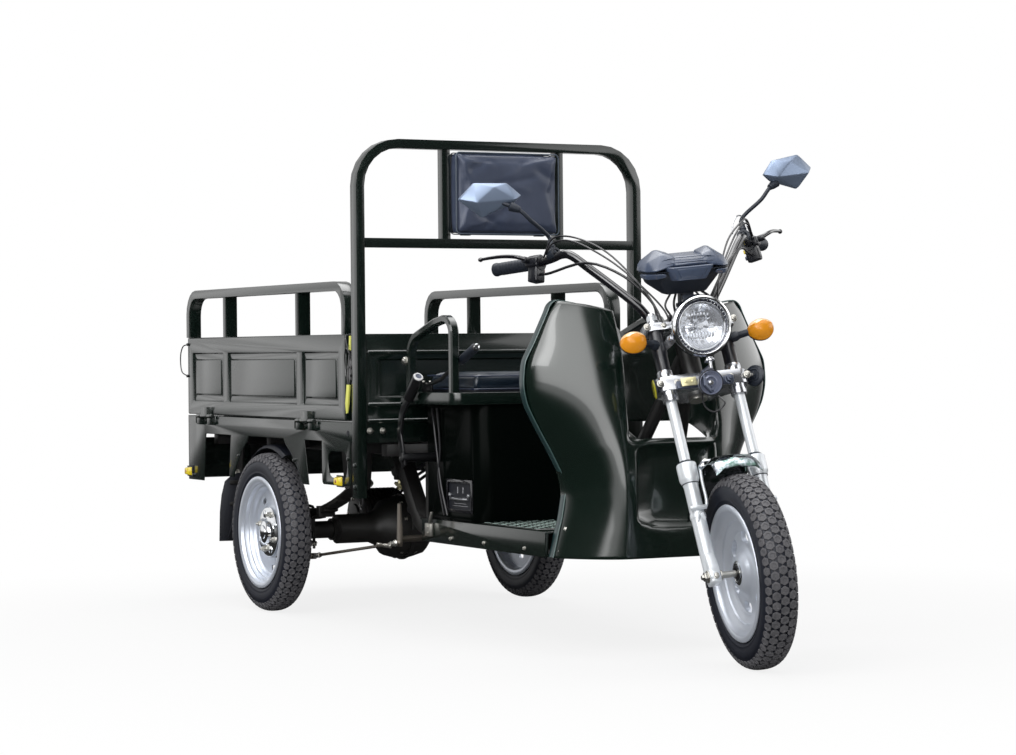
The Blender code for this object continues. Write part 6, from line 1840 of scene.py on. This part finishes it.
@dataclass
class BedFittings:
    """Hinge pins, latches, bolts, marker lamps and lamp lenses of the cargo bed.

    Attributes:
        hinge_out: Distance of the side hinges from the middle plane.
        hinge_z: Height of all the hinges.
        stations: Stations of the side hinges.
    """

    hinge_out: float = 0.4525
    hinge_z: float = 0.572
    stations: tuple[float, ...] = (0.47, -0.33)

    def build(self) -> None:
        """Build all of them."""
        self.hinges()
        self.latches()
        self.lamps()
        self.bolts()

    def hinges(self) -> None:
        """Build the bent pins through the hinge barrels."""
        pins = []
        for side in (-1, 1):
            for y in self.stations:
                x, z = side * self.hinge_out, self.hinge_z
                path = [
                    (x, y - 0.066, z), (x, y + 0.064, z), (x, y + 0.069, z - 0.002), (x, y + 0.071, z - 0.008),
                    (x, y + 0.071, z - 0.024)]
                pins.append(tube_mesh(path, 0.0036, 12))
                pins.append(rod((x, y - 0.0655, z), (x, y - 0.0615, z), 0.0062, 20, bevel=0.0008))
        for x in (-0.25, 0.25):
            path = [
                (x - 0.062, 0.6625, self.hinge_z), (x + 0.062, 0.6625, self.hinge_z),
                (x + 0.067, 0.6625, self.hinge_z - 0.002), (x + 0.069, 0.6625, self.hinge_z - 0.022)]
            pins.append(tube_mesh(path, 0.0036, 12))
            pins.append(rod((x - 0.064, 0.6625, self.hinge_z), (x - 0.06, 0.6625, self.hinge_z), 0.0062, 20))
        fixed("hinge_pins", pins, PAINT_PIN)

    def latches(self) -> None:
        """Build the toggle latch in front of each gate with its yellow strap, and the wire loop at each gate's end."""
        for side, name, body in ((-1, "right", Body.RIGHT_GATE), (1, "left", Body.LEFT_GATE)):
            x = side * 0.4415
            dark = [box((min(x, side * 0.432), -0.648, 0.69), (max(x, side * 0.432), -0.622, 0.742), 0.002),
                rod((side * 0.432, -0.635, 0.725), (side * 0.452, -0.635, 0.725), 0.0062, 20, bevel=0.001),
                rod((side * 0.432, -0.635, 0.702), (side * 0.449, -0.635, 0.702), 0.0046, 16, bevel=0.001),
                hull(points(
                    445, -642, 742, 445, -626, 742, 450, -644, 672, 450, -628, 672, 454, -640, 700, 454, -630, 700,
                    447.5, -637, 764, 447.5, -630, 764, side=side), 0.0015),
                cord(
                    points(444, -630, 760, 448, -618, 790, 446, -606, 806, 444, -603, 790, 446, -606, 764, side=side),
                    0.0021, 10, steps=5)]
            fixed(f"latch_{name}_body", dark, STEEL)
            wire = [cord(
                points(447, -633, 762, 450.5, -620, 778, 450, -610, 756, 448, -608, 725, 450, -616, 700, side=side),
                0.0017, 8), tube_mesh([(
                    side * (0.447 + 0.0032 * math.cos(k * 1.1)), -0.641 + 0.0032 * math.sin(k * 1.1),
                    0.748 + 0.0008 * k) for k in range(48)], 0.001, 6)]
            fixed(f"latch_{name}_wire", wire, STEEL)
            strap = hull(points(
                447, -644, 677, 447, -627, 677, 453.5, -644, 677, 453.5, -627, 677, 448, -636, 625, 448, -619, 625,
                454.5, -636, 625, 454.5, -619, 625, 448, -628, 599, 448, -618, 597, 452, -628, 599, 452, -618, 597,
                side=side), 0.0018)
            tag = hull([
                (side * x, y, z) for x in (0.446, 0.4495) for y,
                z in ((-0.648, 0.812), (-0.638, 0.812), (-0.646, 0.772), (-0.634, 0.774))], 0.0012)
            fixed(f"latch_{name}_strap", [strap, tag], STRAP)
            loop = cord(points(
                442.5, 644, 796, 449, 666, 790, 451, 682, 768, 451, 685, 735, 449, 676, 708, 442.5, 648, 696,
                side=side), 0.0019, 10)
            eyes = [
                rod((side * 0.44, y, z), (side * 0.445, y, z), 0.0046, 14, bevel=0.0006) for y,
                z in ((0.644, 0.796), (0.648, 0.696))]
            piece(f"gate_{name}_wire_loop", placed(joined([loop, *eyes]), HOME), STEEL, body)

    @staticmethod
    def lamps() -> None:
        """Build the yellow marker lamps and the ribbed tail lamps."""
        for side, name in SIDES:
            for key, y, z in (("rear", 0.632, 0.394), ("front", -0.552, 0.407)):
                x = side * 0.4402
                lens = hull([
                    (x + side * out, y + across * way, z + rise * painted_highlight) for out, across,
                    rise in ((0.0, 0.02, 0.014), (0.0165, 0.015, 0.0095)) for painted_highlight in (-1, 1) for way in (-1, 1)],
                    0.0042)
                mark = rod((x + side * 0.014, y, z), (x + side * 0.0172, y, z), 0.0052, 20, bevel=0.0012)
                near, far = sorted((x - side * 0.001, x + side * 0.0035))
                base = box((near, y - 0.0225, z - 0.0165), (far, y + 0.0225, z + 0.0165), 0.0014)
                fixed(f"marker_{name}_{key}_lens", [lens], YELLOW)
                fixed(f"marker_{name}_{key}_bulb", [mark], EMBER)
                fixed(f"marker_{name}_{key}_base", [base], GUARD)
            softened(f"tail_lamp_{name}", RED, Body.CHASSIS, 0.003)
            for k, finish in enumerate((CREAM, AMBER, RED)):
                near, far = sorted((side * (0.3335 + 0.0305 * k), side * (0.3605 + 0.0305 * k)))
                bar = box((near, 0.67, 0.42), (far, 0.6738, 0.46), 0.0022)
                fixed(f"tail_lamp_{name}_segment_{k}", [bar], finish)

    @staticmethod
    def bolts() -> None:
        """Build the bolts of the hoop feet and beams, and dark discs near the beams' front ends that stand for holes,
        their darkness painted shade.
        """
        bolts, hole_shade_discs, bright = [], [], []
        for side in (-1, 1):
            bright += [
                hex_bolt((side * x, -0.6905, 0.5495), (0, -1, 0), 0.015, 0.006, stud=0.004) for x in (0.412, 0.373)]
            # Dark discs where the beams have holes: the shade inside each hole is painted.
            for y in (-0.605, -0.646):
                hole_shade_discs.append(
                    disc(pairs(0, 0, 0, 7.2, 0.8, 8, 1.2, 7.4, 1, 0), (side * 0.44, y, 0.5415), (side, 0, 0), 28))
            for x, y, z, size, height in (
                    (0.45, -0.676, 0.395, 0.012, 0.0045), (0.45, -0.676, 0.455, 0.012, 0.0045),
                    (0.44, 0.605, 0.382, 0.01, 0.004), (0.44, -0.605, 0.47, 0.01, 0.004),
                    (0.44, 0.2175, 0.455, 0.009, 0.0035), (0.44, -0.2175, 0.455, 0.009, 0.0035)):
                bolts.append(hex_bolt((side * x, y, z), (side, 0, 0), size, height))
        fixed("hoop_bolts", bright, ZINC)
        fixed("bed_bolts", bolts, PAINT_PIN)
        fixed("beam_hole_shades", hole_shade_discs, GUARD)


@dataclass
class Underbody:
    """Spring clamps, shackles, brake and axle bolts, motor ribs, wiring and brake hydraulics below the bed."""

    def build(self) -> None:
        """Build all of it."""
        self.springs()
        self.axle()
        self.linkage()
        self.wiring()

    @staticmethod
    def springs() -> None:
        """Build the U-bolts with their plates, the leaf clips and the shackle bolts."""
        clamps, nuts = [], []
        for side in (-1, 1):
            x = side * 0.33
            for y in (-0.03, 0.03):
                arch = pairs(-30, 196, -30, 301, -26, 307, -18, 309.5, 18, 309.5, 26, 307, 30, 301, 30, 196)
                clamps.append(tube_mesh([(x + u, y, v) for u, v in arch], 0.0046, 12))
                for dx in (-0.03, 0.03):
                    nuts.append(hex_bolt((x + dx, y, 0.199), (0, 0, -1), 0.0165, 0.0075, stud=0.008))
            clamps.append(box((x - 0.0385, -0.042, 0.199), (x + 0.0345, 0.042, 0.2045), 0.0015))
            clamps.append(box((x - 0.0245, -0.04, 0.2965), (x + 0.0245, 0.04, 0.303), 0.0015))
            for y in (-0.19, 0.19):
                z = 0.293 + 0.095 * (y / 0.42) ** 2
                clamps.append(box((x - 0.026, y - 0.011, z - 0.027), (x + 0.026, y + 0.011, z + 0.0055), 0.0015))
            for y in (-0.424, 0.424):
                for turn in (-1, 1):
                    nuts.append(hex_bolt((x + turn * 0.0305, y, 0.392), (turn, 0, 0), 0.022, 0.009, stud=0.004))
                clamps.append(rod((x - 0.03, y, 0.392), (x + 0.03, y, 0.392), 0.006, 16))
            nuts.append(hex_bolt((x, 0.0, 0.303), UP, 0.013, 0.006))
        fixed("spring_clamps", clamps, UNDERFRAME)
        fixed("spring_nuts", nuts, ZINC)

    @staticmethod
    def axle() -> None:
        """Build the bolt rings of the housing and the brakes, the filler plug and the motor's ribs and caps."""
        z = 0.235
        bolts, ribs = [], []
        for k in range(10):
            rise, y = on_circle(0.0891425, k + 0.5, 10)
            bolts += [hex_bolt((turn * 0.02, y, z + rise), (turn, 0, 0), 0.0125, 0.006) for turn in (-1, 1)]
        ribs.append(disc(pairs(-6, 90, -6, 99, -4, 100.5, 4, 100.5, 6, 99, 6, 90), (0, 0, z), OUT, 64, ring=True))
        ribs.append(disc(pairs(0, 0, 0, 11, 6, 11, 6, 0), (0, -0.094, z - 0.012), (0, -1, -0.15), 24))
        for side in (-1, 1):
            for k in range(6):
                rise, y = on_circle(0.052, k, 6)
                bolts.append(hex_bolt((side * 0.37, y, z + rise), (-side, 0, 0), 0.012, 0.005))
            collar = [(side * u, v) for u, v in pairs(223, 26.2, 223, 33, 233, 33, 233, 26.2)]
            ribs.append(disc(collar, (0, 0, z), OUT, 40, ring=True))
        for k in range(9):
            rib = [(0.013 * k - 0.052 + u, v) for u, v in pairs(-2.2, 76, -1.8, 81.2, 1.8, 81.2, 2.2, 76)]
            ribs.append(disc(rib, (0, 0.172, z + 0.03), OUT, 48, ring=True))
        for side in (-1, 1):
            ribs.append(
                disc(pairs(0, 0, 0, 34, 6, 32, 8, 20, 8, 0), (side * 0.0748, 0.172, z + 0.03), (side, 0, 0), 40))
            for k in range(5):
                rise, y = on_circle(0.05, k, 5)
                bolts.append(hex_bolt((side * 0.074, 0.172 + y, z + 0.03 + rise), (side, 0, 0), 0.01, 0.0045))
        fixed("axle_bolts", bolts, ZINC)
        fixed("axle_and_motor_ribs", ribs, UNDERFRAME)

    @staticmethod
    def linkage() -> None:
        """Build the dressed brake linkage with its clevises, return springs and adjusting nuts."""
        softened("brake_linkage", COPPER, Body.CHASSIS, 0.0004, 50.0)
        parts, springs = [], []
        for side in (-1, 1):
            x = side * 0.35
            for (y, z), ahead in (((-0.737, 0.242), 1), ((-0.137, 0.168), -1)):
                step = Vector((0, 0.6, -0.074)).normalized() * ahead
                at = Vector((x, y, z))
                parts.append(rod(at + step * 0.012, at + step * 0.04, 0.0072, 8, bevel=0.0012))
                parts.append(rod(at + step * 0.044, at + step * 0.054, 0.008, 6, bevel=0.0008))
                parts.append(
                    disc(pairs(-6, 0, -4.5, 7.2, 0, 10, 4.5, 7.2, 6, 0), at + Vector((side * 0.01, 0, 0)), OUT, 24))
            coil = [
                (x + side * 0.004 + 0.0045 * math.cos(k * 0.9), -0.7 + 0.00125 * k, 0.23 + 0.0045 * math.sin(k * 0.9))
                for k in range(80)]
            springs.append(tube_mesh(coil, 0.0011, 6))
        fixed("linkage_clevises", parts, ZINC)
        fixed("linkage_springs", springs, ZINC)

    @staticmethod
    def wiring() -> None:
        """Build the brake pump with its brass fittings, the wiring beside the seat box and the wire hook."""
        pump = [
            rod((-0.195, -0.47, 0.415), (-0.195, -0.4, 0.425), 0.021, 28, bevel=0.003),
            rod((-0.195, -0.512, 0.409), (-0.195, -0.47, 0.415), 0.015, 24, bevel=0.002),
            rod((-0.195, -0.432, 0.44), (-0.195, -0.434, 0.478), 0.018, 28, bevel=0.003),
            box((-0.222, -0.452, 0.4), (-0.18, -0.43, 0.482), 0.003)]
        fixed("brake_pump", pump, UNDERFRAME)
        brass = [
            rod((-0.214, -0.47, 0.384), (-0.214, -0.44, 0.388), 0.0078, 6, bevel=0.001),
            rod((-0.214, -0.484, 0.382), (-0.214, -0.47, 0.384), 0.005, 16, bevel=0.0006),
            rod((-0.214, -0.44, 0.388), (-0.214, -0.428, 0.39), 0.005, 16, bevel=0.0006),
            rod((-0.214, -0.456, 0.372), (-0.214, -0.456, 0.4), 0.006, 6, bevel=0.001)]
        fixed("brass_fittings", brass, BRASS)
        runs = [(points(
            -214, -484, 382, -220, -520, 372, -226, -545, 345, -232, -552, 318, -236, -600, 306, -250, -680, 290),
            0.003), (points(-204, -510, 480, -210, -530, 440, -216, -545, 400, -224, -560, 352), 0.0026),
            (points(-204, -510, 480, -200, -470, 452, -196, -440, 430), 0.0026),
            (points(-270, -880, 322, -273, -850, 400, -274, -830, 480, -276, -815, 560, -274, -800, 612), 0.0036),
            (points(-270, -860, 322, -275, -836, 420, -272, -842, 500, -274, -830, 612), 0.003),
            (points(45, 120, 320, 60, 30, 380, 70, -120, 430, 60, -300, 455, 50, -440, 470), 0.0048),
            (points(30, 120, 325, 42, 30, 388, 52, -120, 438, 44, -300, 460, 36, -440, 472), 0.0048),
            (points(60, 118, 314, 78, 30, 372, 88, -120, 424, 76, -300, 450, 64, -440, 468), 0.0048)]
        fixed("underbody_hoses", [cord(p, r, 10) for p, r in runs], CABLE)
        hook = cord(
            points(-412, -640, 366, -412, -640, 340, -410, -628, 330, -410, -614, 338, -412, -612, 366), 0.0026, 10)
        small = [hex_bolt((-0.2852, -0.807, z), (-1, 0, 0), 0.012, 0.005, stud=0.005) for z in (0.272, 0.288)]
        small += [
            box((-0.295, -0.826, 0.262), (-0.2852, -0.788, 0.298), 0.002),
            rod((-0.295, -0.822, 0.3), (-0.295, -0.836, 0.33), 0.0045, 14, bevel=0.0008)]
        small += [hex_bolt((side * 0.2852, y, 0.262), (side, 0, 0), 0.009, 0.0035) for side in (-1, 1)
            for y in (-0.93, -1.13, -1.36)]
        fixed("underbody_wire_hook", [hook], STEEL)
        fixed("sill_hardware", small, ZINC)
        chequer = []
        for i in range(22):
            for j in range(13):
                x, y = -0.252 + 0.024 * i, -1.368 + 0.0235 * j
                bar = box((-0.0085, -0.002, 0.0), (0.0085, 0.002, 0.0014), 0.0006, 1)
                chequer.append(placed(bar, shift((x, y, 0.3118)) @ turned_by(45 if (i + j) % 2 else -45, "Z")))
        flap = pairs(437, 372, 448, 330, 454, 280, 456.5, 188, 352, 186, 352, 402, 410, 394)
        flaps = hull([(x, y, z) for x, z in flap for y in (0.3425, 0.346)], 0.001, 2)
        clips = joined([box((0.362, 0.338, z), (0.422, 0.3425, z + 0.012), 0.001) for z in (0.362, 0.296)]
            + [hex_bolt((x, 0.346, 0.368), (0, 1, 0), 0.01, 0.004) for x in (0.372, 0.412)]
            + [box((0.385, 0.246, 0.352), (0.397, 0.343, 0.358), 0.001)])
        fixed("mud_flaps", [paired(flaps)], GUARD)
        fixed("mud_flap_clips", [paired(clips)], UNDERFRAME)
        fixed("footboard_chequer", chequer, CHEQUER)


def main() -> None:
    """Build the whole scene."""
    logging.basicConfig(level=logging.INFO, format="%(message)s")
    Studio().build()
    Bodywork().build()
    for part in (
            Wheels(), Fork(), Headlamp(), Indicators(), InstrumentPod(), Controls(), Shield(), Seat(), SeatFittings(),
            BedFittings(), Underbody()):
        part.build()


if __name__ == "__main__":
    main()
